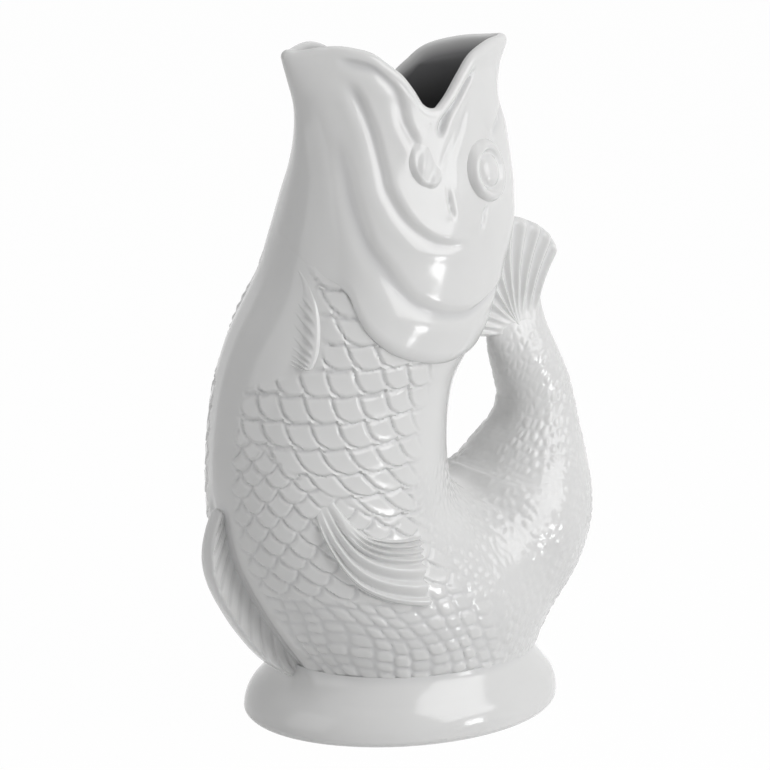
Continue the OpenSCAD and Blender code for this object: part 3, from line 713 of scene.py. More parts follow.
def kept_in_wall(form, points, depth=2.5):
    """Brings what lies deeper in the trunk's wall back to one depth, so that nothing shows in the jug."""
    rear_from_middle = 14.0
    p = points.reshape(-1, 3).copy()
    f, _ = form.trunk_field(p)
    rear = form.section(p[:, 2])[0] + rear_from_middle
    p[:, 0] = np.where(f < -depth, np.maximum(p[:, 0], rear), p[:, 0])
    for _ in range(4):
        f, g = form.trunk_field(p)
        p = p + g * np.where(f < -depth, -depth - f, 0)[:, None]
    return p.reshape(points.shape)


def build_tail(form):
    """Tail from inside the trunk's wall to its rounded, closed end."""
    cols, rows, cap_rows, root_rows, cap_height, into_foot = 220, 300, 10, 12, 3.0, 0.4
    turn = np.radians(turns(cols)[0])
    x, z, tx, tz, thick, wide, _ = (value[:, None] for value in form.tail_at(np.linspace(0.0, 1, rows)))
    out = thick * np.cos(turn)
    side = np.stack([x + out * tz, wide * np.sin(turn), z - out * tx], -1)
    x, z, tx, tz, thick, wide, _ = form.tail_at(np.array([1.0]))
    cap = []
    for t in np.linspace(0, math.pi / 2, cap_rows + 1)[1:]:
        k, up = max(math.cos(t), 0.01), cap_height * math.sin(t)
        out = thick * k * np.cos(turn)
        cap.append(np.stack([x + out * tz + up * tx, wide * k * np.sin(turn), z - out * tx + up * tz], -1))
    shape = side.shape
    side, h = run_together(form, side, form.tail_field, form.trunk_field)
    side = kept_in_wall(form, side).reshape(shape)
    side[..., 2] = np.maximum(side[..., 2], form.foot_h - into_foot)
    middle = side[0].mean(0)
    shrink = np.linspace(0.02, 1, root_rows, endpoint=False)[:, None, None]
    root = kept_in_wall(form, middle + (side[0] - middle) * shrink)
    root[..., 2] = np.maximum(root[..., 2], form.foot_h - into_foot)
    points, groups = capped(np.concatenate([root, side, np.stack(cap)]))
    # Grooves grey for glaze pooling and painted shade.
    pool = np.zeros(len(points))
    pool[root_rows * cols:root_rows * cols + len(h)] = pooled_and_shaded(h)
    make_piece("tail_handle", points, groups, pool)


def edge_spacing(span, r, edge_rows, mid_rows, first=True):
    """Steps from 0 to 1 over a length, closer together where an edge of radius r rolls over."""
    roll = r * (1 - np.cos(np.linspace(0, math.pi / 2, edge_rows, endpoint=False)))
    middle = np.linspace(r if first else 0, span - r, mid_rows)
    return np.concatenate(([roll] if first else []) + [middle, (span - roll)[::-1]]) / span


def tail_half_width(form, line):
    """Half width across the jug of the tail at places of its middle plane, 0 outside the tail."""
    widest, first_guess = 20.0, 14.0
    x, z = line[..., 0].ravel(), line[..., 1].ravel()
    y = np.full(len(x), first_guess)
    for _ in range(14):
        f, g = form.tail_field(np.stack([x, y, z], -1))
        y = np.clip(y - f / np.maximum(g[:, 1], 0.4), 0, widest)
    return y.reshape(line.shape[:-1])


def mirrored_fin(node, face, pool):
    """Fin across the middle plane from the grid of its near face: far face, closed end and joined edges."""
    rows, cols = face.shape[:2]
    both = np.concatenate([face.reshape(-1, 3), (face * [1, -1, 1]).reshape(-1, 3)])
    n, near = rows * cols, np.arange(cols - 1)
    closing = np.stack([near, near + 1, near + 1 + n, near + n], -1)[:, ::-1]
    faces = grid_faces(rows, cols)
    points, groups, index = welded(both, [faces, faces[:, ::-1] + n, closing])
    values = np.zeros(len(points))
    values[index] = np.concatenate([pool.ravel()] * 2)
    make_piece(node, points, groups, values)


def build_tail_fin(form):
    """Fan of raised rays with hollows between them. Its rough length and depth space the grid. Its root laps
    over the tail's end.
    """
    fan_length, fan_depth, overlap, sway, ridge_w = 48.0, 34.0, 9.0, 2.2, 1.15
    r = form.tail_web_t / 2
    s = edge_spacing(fan_length, r, 8, 150)
    v = edge_spacing(fan_depth, r, 8, 56, first=False)[:, None]
    root, tip = form.fin_point(FIN_ROOT_SHARES, s), form.fin_point(FIN_TIP_SHARES, s)
    ray = (tip - root) / length_of(tip - root)[:, None]
    tip = tip + ray * r
    root = root - ray * (overlap * ease(s, 0.1, 0.5))[:, None]
    sweep = np.sin(math.pi * v) * sway * ease(s, 0.25, 0.6)
    line = root + (tip - root) * v[..., None] + sweep[..., None] * [-0.8, 0.4]
    ridge_at = s * form.tail_rays
    near = np.abs(ridge_at - np.round(ridge_at - 0.5) - 0.5) / form.tail_rays * fan_length
    fade = ease(v, 0.06, 0.42) * (0.75 + 0.25 * v)
    lift = form.ray_height * (bell(near, ridge_w) * 1.6 - 0.55) * fade
    under = tail_half_width(form, line)
    thick = 0.5 * (r + under + np.sqrt((r - under) ** 2 + 1.0)) - 1.2 * (1 - ease(v, 0, 0.12))
    half = thick + lift
    for gap in (s * fan_length, (1 - s) * fan_length, length_of(tip - root) * (1 - v)):
        half = half * rounded(gap, r)
    face = kept_in_wall(form, np.stack([line[..., 0], half, line[..., 1]], -1))
    # Greyer between the rays, for glaze pooling and painted shade.
    mirrored_fin("tail_fin", face, pooled_and_shaded(lift * 1.2))


def foot_ring(form, a, z, out, part=1.0):
    """Ring of the foot at a height, pushed out, and drawn in to a part of its distance from the middle."""
    mid, half_len, half_w = form.section(form.foot_h)
    full = smooth_at(FOOT_SHARES, np.clip(z / form.foot_h, 0, 1), 1)
    hl = half_len + (form.foot_len / 2 - half_len) * full + out
    hw = half_w + (form.foot_w / 2 - half_w) * full + out
    x = (mid - form.foot_mid_x) * z / form.foot_h - hl * np.cos(a)
    return np.stack([form.foot_mid_x + x * part, -hw * np.sin(a) * part, z + 0 * a], -1)


def build_foot(form):
    """Foot from the middle of its underside, over the resting ring and the side, to the floor inside."""
    cols, hollow_r, middle_hole, pool_and_shade_run = 360, 2.0, 0.03, 3.0
    a = np.radians(turns(cols)[0])
    edge, ring, recess = form.foot_edge_r, form.rest_ring_w, form.recess_h
    floor_z = recess + form.floor_t
    inside, quarter = -ring - edge, math.pi / 2
    # Recess under the floor, its rounded side, the resting ring, the rounded lower edge, and the side
    rows = [(recess, inside - hollow_r, part) for part in np.linspace(middle_hole, 1, 14)]
    rows += [(recess * math.cos(t), inside - hollow_r * (1 - math.sin(t)))
             for t in np.linspace(0, quarter, 6)[1:]]
    rows += [(0.0, inside + ring * part) for part in np.linspace(0, 1, 6)[1:]]
    rows += [(edge * (1 - math.cos(t)), -edge * (1 - math.sin(t))) for t in np.linspace(0, quarter, 10)[1:]]
    rows += [(z, 0.0) for z in np.linspace(edge, form.foot_h, 64)[1:]]
    outer_count = len(rows) * cols
    # Inner side and floor
    rows += [(z, -form.wall) for z in np.linspace(form.foot_h, floor_z, 12)]
    rows += [(floor_z, -form.wall, part) for part in np.linspace(1, middle_hole, 12)[1:]]
    points, groups = capped(np.stack([foot_ring(form, a, *row) for row in rows]))
    # Painted shade: dark grey on the inner side and floor. Greyer over the top of the foot where it meets the
    # body, for glaze pooling and painted shade.
    inside_shade = np.zeros(len(points))
    inside_shade[outer_count:-2] = inside_shade[-1] = 1
    pool = np.clip((points[:, 2] - form.foot_h) / pool_and_shade_run + 1, 0, 1) * 0.8
    pool[-2:] = 0
    make_piece("pedestal_foot", points, groups, pool, inside_shade)


def build_belly_fin(form):
    """Keel of overlapping blades from inside the belly's wall, with a thick end over the foot."""
    fin_length, sunk, rim_r, end_r = 62.0, 2.2, 1.5, 1.8
    blades, slant, blade_step, bulb_at, thinnest = 9.5, 2.66, 0.75, 0.96, 0.3
    u = edge_spacing(fin_length, end_r, 6, 150)
    rim_steps = 0.8 + 0.2 * np.sin(np.linspace(0, math.pi / 2, 10))
    w = np.concatenate([np.linspace(0, 0.8, 24, endpoint=False), rim_steps])[:, None]
    z = form.height_of(smooth_at(BELLY_FIN, u, 1))
    depth = form.belly_fin_d * smooth_at(BELLY_FIN, u, 2) + sunk
    out = -sunk + w * depth
    rim_gap, end_gap = (1 - w) * depth, np.minimum(u, 1 - u) * fin_length
    t = (u * blades - w * slant) % 1
    crest = ease(np.minimum(t, 0.6 * (1 - t)), 0, 0.2)
    hollow = -0.12 * np.sin(math.pi * w)
    lift = ((crest - 1) * blade_step * ease(rim_gap, 0.5, 2.0) + hollow) * ease(end_gap, 1.0, 4.0)
    bulb = 0.8 * bell((u - bulb_at) * fin_length, 3.0)
    taper = form.belly_fin_t / 2 * (0.85 + 0.85 * w)
    face = form.skin(0 * out, z + 0 * out, out)
    half = np.maximum(taper + lift + bulb, thinnest)
    face[..., 1] = half * rounded(rim_gap, rim_r) * rounded(end_gap, end_r)
    # Greyer between the blades, for glaze pooling and painted shade.
    mirrored_fin("belly_fin", face, 0.15 * pooled_and_shaded(lift - hollow))


def between_edges(form, low_edge, top_edge, rows, cols):
    """Grid between two drawn edges: shares along and across, angle, height, and width in millimetres."""
    u, v = np.linspace(0, 1, rows)[:, None], np.linspace(0, 1, cols)[None, :]
    courses = [smooth_at(edge, u, column) for edge in (low_edge, top_edge) for column in (1, 2)]
    low_a, low_z, top_a, top_z = courses
    width = np.hypot((top_a - low_a) * ARC, form.trunk_h * (top_z - low_z))
    return u, v, low_a * (1 - v) + top_a * v, form.height_of(low_z * (1 - v) + top_z * v), width


def laid_patch(node, form, side, angle, z, height, pool):
    """Relief piece laid on the skin: its face follows the heights, its back lies inside the wall."""
    rows, cols = height.shape
    n = rows * cols
    face = form.skin(side * angle, z, height).reshape(-1, 3)
    back = form.skin(side * angle, z, np.minimum(height, 0) - BACK_DEPTH).reshape(-1, 3)
    ring = np.concatenate([np.arange(cols - 1), np.arange(rows - 1) * cols + cols - 1,
                           n - cols + np.arange(cols - 1, 0, -1), np.arange(rows - 1, 0, -1) * cols])
    faces = grid_faces(rows, cols)
    groups = [faces, faces[:, ::-1] + n, band_faces(ring, n)[:, ::-1]]
    pool = np.concatenate([np.broadcast_to(pool, height.shape).ravel(), np.zeros(n)])
    make_piece(node, np.concatenate([face, back]), groups, pool)


def build_flank_fin(form, side, label):
    """Rays that rise one over the other, run into the skin at the root and end in a scalloped edge."""
    fin_length, sunk, root_run, full_width = 52.0, 1.0, 11.0, 17.0
    u, v, angle, z, width = between_edges(form, FLANK_LOW, FLANK_TOP, 150, 130)
    t = np.interp(v, FLANK_RAYS[:, 0], FLANK_RAYS[:, 1] * form.flank_rays / FLANK_RAYS[-1, 1]) % 1
    crest = ease(t, 0, 0.72) * (1 - ease(t, 0.74, 1))
    scallop = (1 - u) * fin_length + crest - 1
    edge = ease(v * width, 0, 1.8) * ease((1 - v) * width, 0, 1.2) * ease(scallop, 0, 1.8)
    edge = edge * ease(u * fin_length, 0, root_run)
    body = form.flank_ray_t * (0.75 + 0.25 * ease(u, 0, 0.3) - 0.3 * u)
    lift = (crest - 0.55) * 1.8 * form.ray_height * ease(u, 0.04, 0.3) * (1 - 0.4 * ease(u, 0.85, 1))
    grown = 1 - (1 - ease(u, 0.25, 0.55)) * ease(v, 0.6, 0.72)
    top_roll = 0.9 * bell(v - 0.82, 0.15) * (1 - grown)
    lift = lift * np.clip(width / full_width, 0.3, 1) * grown + top_roll
    height = -sunk + (sunk + body + lift) * edge
    # Greyer between the rays, for glaze pooling and painted shade.
    laid_patch("flank_fin_" + label, form, side, angle, z, height, pooled_and_shaded(lift * 0.4))


def build_breast_fin(form, side, label):
    """Soft pad with a spine along its upper edge and short strokes below that."""
    fin_length, sunk, stroke_count, slant, plain_t = 48.0, 0.8, 10.0, 0.55, 1.3
    u, v, angle, z, width = between_edges(form, BREAST_LOW, BREAST_TOP, 130, 130)
    low, high, end = v * width, (1 - v) * width, (1 - u) * fin_length
    t = ((u + slant * (1 - v)) * stroke_count) % 1
    crest = ease(t, 0, 0.6) * (1 - ease(t, 0.62, 1))
    edge = ease(low, 0, 3.0) * ease(high, 0, 1.4) * ease(end, 0, 2.5) * ease(u * fin_length, 0, 4.0)
    spine = 1.2 * bell(high - 2.6, 2.6) * (0.35 + 0.65 * ease(u, 0.2, 0.7))
    pad = 0.6 * bell(high, 8.0) * ease(u, 0.15, 0.6)
    strokes = ease(high, 1.8, 3.6) * (1 - ease(high, 7, 12)) * ease(u, 0.28, 0.45) * ease(end, 1, 4)
    lift = (crest - 0.5) * 0.55 * form.ray_height * strokes
    height = -sunk + (0.5 + (spine + pad) * form.breast_ray_t / plain_t + lift) * edge
    # Greyer between the strokes, for glaze pooling and painted shade.
    laid_patch("breast_fin_" + label, form, side, angle, z, height, pooled_and_shaded(lift))


def round_patch(node, form, side, spot, rows, profile):
    """Round relief laid on the head: the profile gives its height for a share of the radius and a turn."""
    cols = 120
    turn, r = np.radians(turns(cols)[0]), np.linspace(0.02, 1, rows)[:, None]
    angle = spot[0] + r * spot[2] * np.cos(turn)
    gill, rim = form.gill_z(angle), form.rim_z(angle) - form.wall / 2
    z = np.minimum(spot[1] + r * spot[3] * np.sin(turn), rim)
    base = head_relief(form, angle.ravel(), z.ravel()).reshape(z.shape)
    share = (z - gill) / np.maximum(rim - gill, 1)
    cover = form.cover_proud * np.clip(1 - share, 0, 1) ** 3
    height = profile(r, turn)
    out = cover + base * (1 - ease(height, -0.3, 0.8)) + height
    face = form.skin(side * angle, z, out)
    back = form.skin(side * angle, z, np.minimum(out, cover) - ROUND_BACK_DEPTH)
    n, ring = rows * cols, np.arange(cols)
    points = np.concatenate([*face, *back, face[0].mean(0)[None], back[0].mean(0)[None]])
    faces = grid_faces(rows, cols, wrap_cols=True)
    groups = [faces[:, ::-1], faces + n, band_faces(n - cols + ring, n),
              fan_faces(ring, 2 * n), fan_faces(n + ring[::-1], 2 * n + 1)]
    # Greyer in the hollows of the profile, for glaze pooling and painted shade.
    slope = np.gradient(np.gradient(height, axis=0), axis=0)
    make_piece(node, points, groups, np.concatenate([np.clip(slope.ravel() * 6, -0.4, 1), np.zeros(n + 2)]))


def build_eye(form, side, label):
    def profile(r, turn):
        return smooth_at(EYE_PROFILE, r, 1) * form.eye_out / 2.0 * (1.05 - 0.6 * r * np.cos(turn))

    spot = (116.0, form.height_of(0.794), 15.5, form.eye_ring / 2 + 0.6)
    round_patch("eye_" + label, form, side, spot, 64, profile)


def build_jaw_flap(form, side, label):
    def profile(r, turn):
        across, up = r * np.cos(turn), r * np.sin(turn)
        roll = ease(1 - r, 0, 0.42)
        lean = 0.9 * across + 0.4 * up
        running_out = 1 - ease(lean, -0.45, 0.55)
        fold = 0.75 * np.cos(math.pi * (0.8 * across - 0.6 * up + 0.2) * 2.6) * ease(lean, -0.7, -0.2)
        height = roll * running_out * (form.flap_out * 1.1 + fold)
        return height - 0.5 * (1 - roll) - 0.35 * ease(lean, 0.0, 0.5) - 0.1

    spot = (80.0, form.height_of(0.812), 12.0, form.flap_len / 2 + 1.0)
    round_patch("jaw_flap_" + label, form, side, spot, 56, profile)


# Glaze and stage
def emptied(owner):
    """Node tree of a material or world, without its nodes."""
    owner.use_nodes = True
    owner.node_tree.nodes.clear()
    return owner.node_tree


def add_node(tree, kind, x, y, inputs=(), **settings):
    node = tree.nodes.new("ShaderNode" + kind)
    node.location = (x, y)
    for key, value in settings.items():
        setattr(node, key, value)
    for socket, value in inputs:
        node.inputs[socket].default_value = value
    return node


def connect(tree, *links):
    for source, output, target, socket in links:
        tree.links.new(source.outputs[output], target.inputs[socket])


def glaze_material():
    """White glaze over pale clay, greyer in the grooves where it gathers and where shade is painted, and with
    painted shade inside the jug.
    """
    name = "white_glaze_finish"
    if name in bpy.data.materials:
        return bpy.data.materials[name]
    finish = bpy.context.scene.jug_finish
    thin, clear = (*finish.clay_colour, 1), (*finish.glaze_colour, 1)
    thick, inside_shade = (*finish.pool_and_shade_colour, 1), (*finish.inside_shade_colour, 1)
    material = bpy.data.materials.new(name)
    tree = emptied(material)
    out = add_node(tree, "OutputMaterial", 900, 0)
    glaze = add_node(tree, "BsdfPrincipled", 600, 0, [("IOR", 1.52)])
    place = add_node(tree, "TexCoord", -900, 0)
    cloud = add_node(tree, "TexNoise", -700, 100, [("Scale", 38.0), ("Detail", 3.0)])
    fleck = add_node(tree, "TexNoise", -700, -150, [("Scale", 900.0), ("Detail", 2.0)])
    ripple = add_node(tree, "TexNoise", 0, -450, [("Scale", 140.0), ("Detail", 2.0)])
    pool = add_node(tree, "Attribute", -700, -400, attribute_name="pool")
    inner = add_node(tree, "Attribute", -700, -600, attribute_name="inner")
    tone = add_node(tree, "Mix", -400, 150, [("A", clear), ("B", thin)], data_type='RGBA')
    # Greyer in the grooves, for glaze pooling and painted shade.
    pool_and_shade_mix = add_node(tree, "Mix", -150, 100, [("B", thick)], data_type='RGBA')
    # Painted shade inside the jug: the inner walls, the lip's inner half and the foot's floor turn dark grey.
    inside = add_node(tree, "Mix", 100, 50, [("B", inside_shade)], data_type='RGBA')
    pool_and_shade_amount = add_node(tree, "MapRange", -400, -300, [("To Max", 0.9)])
    rough = add_node(tree, "MapRange", -100, -250,
                     [("To Min", finish.gloss_low), ("To Max", finish.gloss_high)])
    bump = add_node(tree, "Bump", 300, -350, [("Strength", 0.12), ("Distance", 0.0004)])
    for texture in (cloud, fleck, ripple):
        connect(tree, (place, "Object", texture, "Vector"))
    connect(tree, (cloud, "Fac", tone, "Factor"), (tone, "Result", pool_and_shade_mix, "A"),
            (pool, "Fac", pool_and_shade_amount, "Value"), (pool_and_shade_amount, "Result", pool_and_shade_mix, "Factor"),
            (pool_and_shade_mix, "Result", inside, "A"), (inner, "Fac", inside, "Factor"),
            (inside, "Result", glaze, "Base Color"), (fleck, "Fac", rough, "Value"),
            (rough, "Result", glaze, "Roughness"), (ripple, "Fac", bump, "Height"),
            (bump, "Normal", glaze, "Normal"), (glaze, "BSDF", out, "Surface"))
    return material


def white_where_seen(tree, plain, white, out, share=1.0):
    """White for the camera, the glaze and what lies behind clear things; the plain shader for other light."""
    path = add_node(tree, "LightPath", -800, 0)
    seen = add_node(tree, "Math", -600, 0, operation='MAXIMUM')
    any_seen = add_node(tree, "Math", -400, 0, operation='MAXIMUM')
    keep = add_node(tree, "Math", -200, 0, [(1, share)], operation='MULTIPLY')
    mix = add_node(tree, "MixShader", 0, 0)
    connect(tree, (path, "Is Camera Ray", seen, 0), (path, "Is Glossy Ray", seen, 1),
            (seen, 0, any_seen, 0), (path, "Is Transmission Ray", any_seen, 1), (any_seen, 0, keep, 0),
            (keep, 0, mix, "Fac"), (plain, 0, mix, 1), (white, 0, mix, 2), (mix, 0, out, "Surface"))


def build_camera(stage, aim, to_camera):
    data = bpy.data.cameras.new("front_view")
    data.sensor_width = SENSOR_WIDTH
    data.lens = stage.camera_scale * stage.camera_distance / MM * SENSOR_WIDTH / IMAGE_SIZE
    data.clip_end = 20.0
    camera = bpy.data.objects.new("front_view", data)
    camera.location = aim + to_camera * stage.camera_distance
    camera.rotation_euler = (-to_camera).to_track_quat('-Z', 'Y').to_euler()
    bpy.context.scene.collection.objects.link(camera)
    bpy.context.scene.camera = camera


def build_room(stage):
    world = bpy.context.scene.world = bpy.data.worlds.new("studio_room")
    tree = emptied(world)
    room, white = (add_node(tree, "Background", -200, y, [("Color", (1, 1, 1, 1)), ("Strength", strength)])
                   for y, strength in ((-150, stage.room_light), (-300, 1.0)))
    white_where_seen(tree, room, white, add_node(tree, "OutputWorld", 200, 0))


def build_floor(stage):
    size = 6.0
    mesh = bpy.data.meshes.new("studio_floor")
    corners = [(-size, -size, 0), (size, -size, 0), (size, size, 0), (-size, size, 0)]
    mesh.from_pydata(corners, [], [(0, 1, 2, 3)])
    floor = bpy.data.objects.new("studio_floor", mesh)
    bpy.context.scene.collection.objects.link(floor)
    material = bpy.data.materials.new("studio_floor_paper")
    tree = emptied(material)
    paper = add_node(tree, "BsdfDiffuse", -200, -150, [("Color", (0.86, 0.86, 0.86, 1))])
    glow = add_node(tree, "Emission", -200, -300, [("Strength", 1.0)])
    white_where_seen(tree, paper, glow, add_node(tree, "OutputMaterial", 200, 0), stage.floor_white)
    mesh.materials.append(material)


def area_lamp(name, place, aim, size, power):
    data = bpy.data.lights.new(name, 'AREA')
    data.shape = 'RECTANGLE'
    data.size, data.size_y = size
    data.energy = power
    lamp = bpy.data.objects.new(name, data)
    lamp.location = place
    lamp.rotation_euler = (aim - place).to_track_quat('-Z', 'Y').to_euler()
    bpy.context.scene.collection.objects.link(lamp)


def build_stage(stage):
    bpy.context.scene.view_settings.view_transform = 'Standard'
    turn, rise = math.radians(stage.camera_turn), math.radians(stage.camera_rise)
    aim = Vector(stage.camera_aim)
    to_camera = Vector((-math.sin(turn) * math.cos(rise), -math.cos(turn) * math.cos(rise), math.sin(rise)))
    build_camera(stage, aim, to_camera)
    build_room(stage)
    build_floor(stage)
    right = Vector((math.cos(turn), -math.sin(turn), 0))
    forward = -Vector((to_camera.x, to_camera.y, 0)).normalized()
    # Lamps: place to the right of the aim, beyond it and above it, width and height, all in metres, and power
    for name, across, ahead, high, size, power in (
            ("key_softbox", 0.95, -0.55, 0.75, (0.9, 1.0), stage.key_power),
            ("top_softbox", 0.1, 0.15, 1.1, (0.7, 0.7), stage.top_power),
            ("left_fill", -1.2, -0.75, 0.4, (1.0, 1.4), stage.fill_power),
            ("glint_softbox", 1.12, -0.62, -0.03, (0.25, 0.3), stage.glint_power)):
        place = aim + right * across + forward * ahead + Vector((0, 0, high))
        area_lamp(name, place, aim, size, power)


# Settings
def mm(name, text, value):
    """Length in millimetres."""
    return FloatProperty(name=name, description=text, default=value * MM, min=0,
                         unit='LENGTH', subtype='DISTANCE')


def factor(name, text, value):
    return FloatProperty(name=name, description=text, default=value, min=0, max=1, subtype='FACTOR')


def number(name, text, value):
    return FloatProperty(name=name, description=text, default=value)


def rays(name, text, value):
    return IntProperty(name=name, description=text, default=value, min=3, max=20)


def colour(name, text, *value):
    return FloatVectorProperty(name=name, description=text, default=value, min=0, max=1, subtype='COLOR')


class JugSizes(bpy.types.PropertyGroup):
    """Sizes of the jug's form."""
    trunk_h: mm("Trunk height", "Height of the trunk above the foot", 216)
    trunk_len: mm("Trunk length", "Unit of length for the trunk, belly to back", 102)
    trunk_w: mm("Trunk width", "Unit of width for the trunk, flank to flank", 86)
    wall: mm("Wall", "Thickness of the clay wall", 4.6)
    foot_len: mm("Foot length", "Length of the oval foot", 116)
    foot_w: mm("Foot width", "Width of the oval foot", 98)
    foot_h: mm("Foot height", "Height of the foot", 22)
    floor_t: mm("Floor", "Thickness of the floor", 5)
    recess_h: mm("Recess", "Depth of the hollow under the floor", 3)
    rest_ring_w: mm("Resting ring", "Width of the ring that the jug rests on", 8)
    foot_edge_r: mm("Foot edge", "Radius of the foot's lower edge", 2.4)
    foot_mid_x: mm("Foot middle", "Place of the foot's middle along the jug", 1.6)
    tail_reach: mm("Tail reach", "How far the tail reaches out behind the foot's middle", 57.2)
    tail_h: mm("Tail height", "Height of the tail above the foot", 121)
    tail_root_d: mm("Tail root thickness", "Unit of thickness for the tail", 60)
    tail_root_w: mm("Tail root width", "Unit of width for the tail", 70)
    tail_fillet: mm("Tail fillet", "Softness of the joint of tail and body", 13)
    tail_fin_reach: mm("Tail fin reach", "Unit of reach for the fan at the tail's end", 67.5)
    tail_fin_rise: mm("Tail fin rise", "Rise of the fan above the tail's end", 28)
    tail_web_t: mm("Tail fin thickness", "Thickness of the fan between its rays", 6.6)
    cover_proud: mm("Gill cover edge", "How far the gill cover's edge stands proud", 2.0)
    cover_roll: mm("Gill cover roll", "Height over which that edge rolls over", 3.4)
    belly_fin_d: mm("Belly fin depth", "Depth of the keel fin on the belly", 11)
    belly_fin_t: mm("Belly fin thickness", "Thickness of the belly fin", 5.2)
    flank_ray_t: mm("Flank fin height", "Height of the flank fins above the skin", 2.2)
    breast_ray_t: mm("Breast fin height", "Height of the breast fins above the skin", 1.3)
    eye_ring: mm("Eye ring", "Width of the ring round the eye", 20)
    eye_out: mm("Eye height", "Height of the eye above the head", 2.2)
    flap_len: mm("Jaw flap", "Length of the flap at the corner of the mouth", 16)
    flap_out: mm("Jaw flap height", "Height of that flap above the head", 2.3)


class JugRelief(bpy.types.PropertyGroup):
    """Heights and depths of the modelled detail."""
    scale_depth: mm("Scale groove", "Depth of the grooves between the scales", 0.68)
    scale_rise: mm("Scale lift", "Lift of a scale at its free edge", 0.45)
    dab_height: mm("Dab height", "Height of the small dabs on tail and rear flank", 0.52)
    line_depth: mm("Head line depth", "Depth of the lines drawn on the head", 1.2)
    line_proud: mm("Head plate lift", "Lift of the plates beside those lines", 1.1)
    ray_height: mm("Ray height", "Height of the rays of the fins", 1.1)
    tail_rays: rays("Tail rays", "Rays of the tail fin", 11)
    flank_rays: rays("Flank rays", "Rays of a flank fin", 7)


class JugFinish(bpy.types.PropertyGroup):
    """Colours and gloss of the glaze, with grey for glaze pooling and painted shade in the grooves, and
    painted shade inside the jug.
    """
    glaze_colour: colour("Glaze", "White of the glaze", 0.84, 0.84, 0.835)
    clay_colour: colour("Thin glaze", "Glaze where it lies thin", 0.80, 0.80, 0.795)
    # Grey for glaze pooling and painted shade in the grooves.
    pool_and_shade_colour: colour("Thick glaze", "Glaze gathered in grooves", 0.71, 0.712, 0.715)
    # Dark grey painted shade for the inside of the jug.
    inside_shade_colour: colour("Inside", "Glaze inside the jug", 0.21, 0.21, 0.215)
    gloss_low: factor("Lowest roughness", "Roughness of the clearest glaze", 0.09)
    gloss_high: factor("Highest roughness", "Roughness of the dullest glaze", 0.16)


class JugStage(bpy.types.PropertyGroup):
    """Camera, room and lamps."""
    camera_turn: number("Camera turn", "Camera's turn towards the belly, in degrees", 32.0)
    camera_rise: number("Camera rise", "Camera's height above level, in degrees", 12.5)
    camera_distance: mm("Camera distance", "Distance from the aim", 1000)
    camera_scale: number("Picture scale", "Picture points for each millimetre at the aim", 2.87)
    camera_aim: FloatVectorProperty(name="Camera aim", description="Point in the middle of the picture",
                                    default=(-0.0049, 0.0, 0.1165), subtype='TRANSLATION', unit='LENGTH')
    room_light: number("Room light", "Strength of the even light of the room", 0.165)
    floor_white: factor("Floor white", "How much of the floor shows as plain white", 0.985)
    key_power: number("Key lamp", "Power of the lamp on the right, in watts", 9.0)
    top_power: number("Top lamp", "Power of the lamp above, in watts", 1.6)
    fill_power: number("Fill lamp", "Power of the lamp on the left, in watts", 4.3)
    glint_power: number("Glint lamp", "Power of the small lamp for glints, in watts", 2.2)


# Operators
def current_form(context):
    """The jug's form for the sizes that are set now."""
    return JugForm(context.scene.jug_sizes, context.scene.jug_relief)


def build_both(build, context):
    """Left and right piece of a pair."""
    form = current_form(context)
    for side, label in SIDES:
        build(form, side, label)


class OBJECT_OT_jug_stage(bpy.types.Operator):
    """Makes the camera, the room, the floor and the lamps"""
    bl_idname = "object.jug_stage"
    bl_label = "Stage"

    def execute(self, context):
        build_stage(context.scene.jug_stage)
        return {'FINISHED'}


class OBJECT_OT_jug_body(bpy.types.Operator):
    """Makes the scaled lower trunk with its inner wall"""
    bl_idname = "object.jug_body_shell"
    bl_label = "Body shell"

    def execute(self, context):
        build_body(current_form(context))
        return {'FINISHED'}


class OBJECT_OT_jug_head(bpy.types.Operator):
    """Makes the head with its gill cover, lines and open mouth"""
    bl_idname = "object.jug_head_shell"
    bl_label = "Head shell"

    def execute(self, context):
        build_head(current_form(context))
        return {'FINISHED'}


class OBJECT_OT_jug_tail(bpy.types.Operator):
    """Makes the tail that is the handle"""
    bl_idname = "object.jug_tail_handle"
    bl_label = "Tail handle"

    def execute(self, context):
        build_tail(current_form(context))
        return {'FINISHED'}


class OBJECT_OT_jug_tail_fin(bpy.types.Operator):
    """Makes the fan of rays at the tail's end"""
    bl_idname = "object.jug_tail_fin"
    bl_label = "Tail fin"

    def execute(self, context):
        build_tail_fin(current_form(context))
        return {'FINISHED'}


class OBJECT_OT_jug_foot(bpy.types.Operator):
    """Makes the oval foot with its floor and resting ring"""
    bl_idname = "object.jug_pedestal_foot"
    bl_label = "Pedestal foot"

    def execute(self, context):
        build_foot(current_form(context))
        return {'FINISHED'}


class OBJECT_OT_jug_belly_fin(bpy.types.Operator):
    """Makes the keel fin down the belly"""
    bl_idname = "object.jug_belly_fin"
    bl_label = "Belly fin"

    def execute(self, context):
        build_belly_fin(current_form(context))
        return {'FINISHED'}


class OBJECT_OT_jug_flank_fins(bpy.types.Operator):
    """Makes the fin on each flank"""
    bl_idname = "object.jug_flank_fins"
    bl_label = "Flank fins"

    def execute(self, context):
        build_both(build_flank_fin, context)
        return {'FINISHED'}


class OBJECT_OT_jug_breast_fins(bpy.types.Operator):
    """Makes the fin under each front corner of the gill cover"""
    bl_idname = "object.jug_breast_fins"
    bl_label = "Breast fins"

    def execute(self, context):
        build_both(build_breast_fin, context)
        return {'FINISHED'}


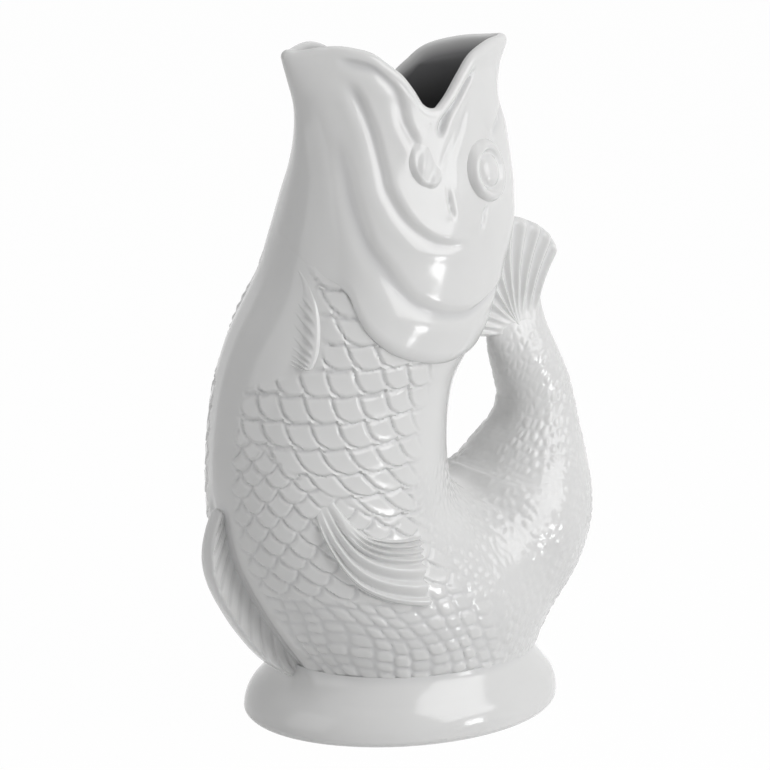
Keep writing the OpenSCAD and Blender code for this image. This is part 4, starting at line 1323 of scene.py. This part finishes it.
class OBJECT_OT_jug_eyes(bpy.types.Operator):
    """Makes the ball and ring of each eye"""
    bl_idname = "object.jug_eyes"
    bl_label = "Eyes"

    def execute(self, context):
        build_both(build_eye, context)
        return {'FINISHED'}


class OBJECT_OT_jug_jaw_flaps(bpy.types.Operator):
    """Makes the flap at each corner of the mouth"""
    bl_idname = "object.jug_jaw_flaps"
    bl_label = "Jaw flaps"

    def execute(self, context):
        build_both(build_jaw_flap, context)
        return {'FINISHED'}


STEPS = (OBJECT_OT_jug_stage, OBJECT_OT_jug_body, OBJECT_OT_jug_head, OBJECT_OT_jug_tail,
         OBJECT_OT_jug_tail_fin, OBJECT_OT_jug_foot, OBJECT_OT_jug_belly_fin, OBJECT_OT_jug_flank_fins,
         OBJECT_OT_jug_breast_fins, OBJECT_OT_jug_eyes, OBJECT_OT_jug_jaw_flaps)
GROUPS = {"jug_sizes": JugSizes, "jug_relief": JugRelief, "jug_finish": JugFinish, "jug_stage": JugStage}


class VIEW3D_PT_jug(bpy.types.Panel):
    """Lists the jug's pieces and sizes"""
    bl_label = "Glazed fish jug"
    bl_idname = "VIEW3D_PT_jug"
    bl_space_type = 'VIEW_3D'
    bl_region_type = 'UI'
    bl_category = "Jug"

    def draw(self, context):
        column = self.layout.column()
        for step in STEPS:
            column.operator(step.bl_idname)
        for name, group in GROUPS.items():
            box = self.layout.box().column()
            for key in group.__annotations__:
                box.prop(getattr(context.scene, name), key)


def register():
    for name, group in GROUPS.items():
        bpy.utils.register_class(group)
        setattr(bpy.types.Scene, name, PointerProperty(type=group))
    for step in STEPS:
        bpy.utils.register_class(step)
    bpy.utils.register_class(VIEW3D_PT_jug)


def unregister():
    bpy.utils.unregister_class(VIEW3D_PT_jug)
    for step in reversed(STEPS):
        bpy.utils.unregister_class(step)
    for name, group in reversed(GROUPS.items()):
        delattr(bpy.types.Scene, name)
        bpy.utils.unregister_class(group)


def main():
    register()
    for step in STEPS:
        group, name = step.bl_idname.split(".")
        if getattr(getattr(bpy.ops, group), name)() != {'FINISHED'}:
            raise RuntimeError(step.bl_label + " could not be made")


if __name__ == "__main__":
    main()
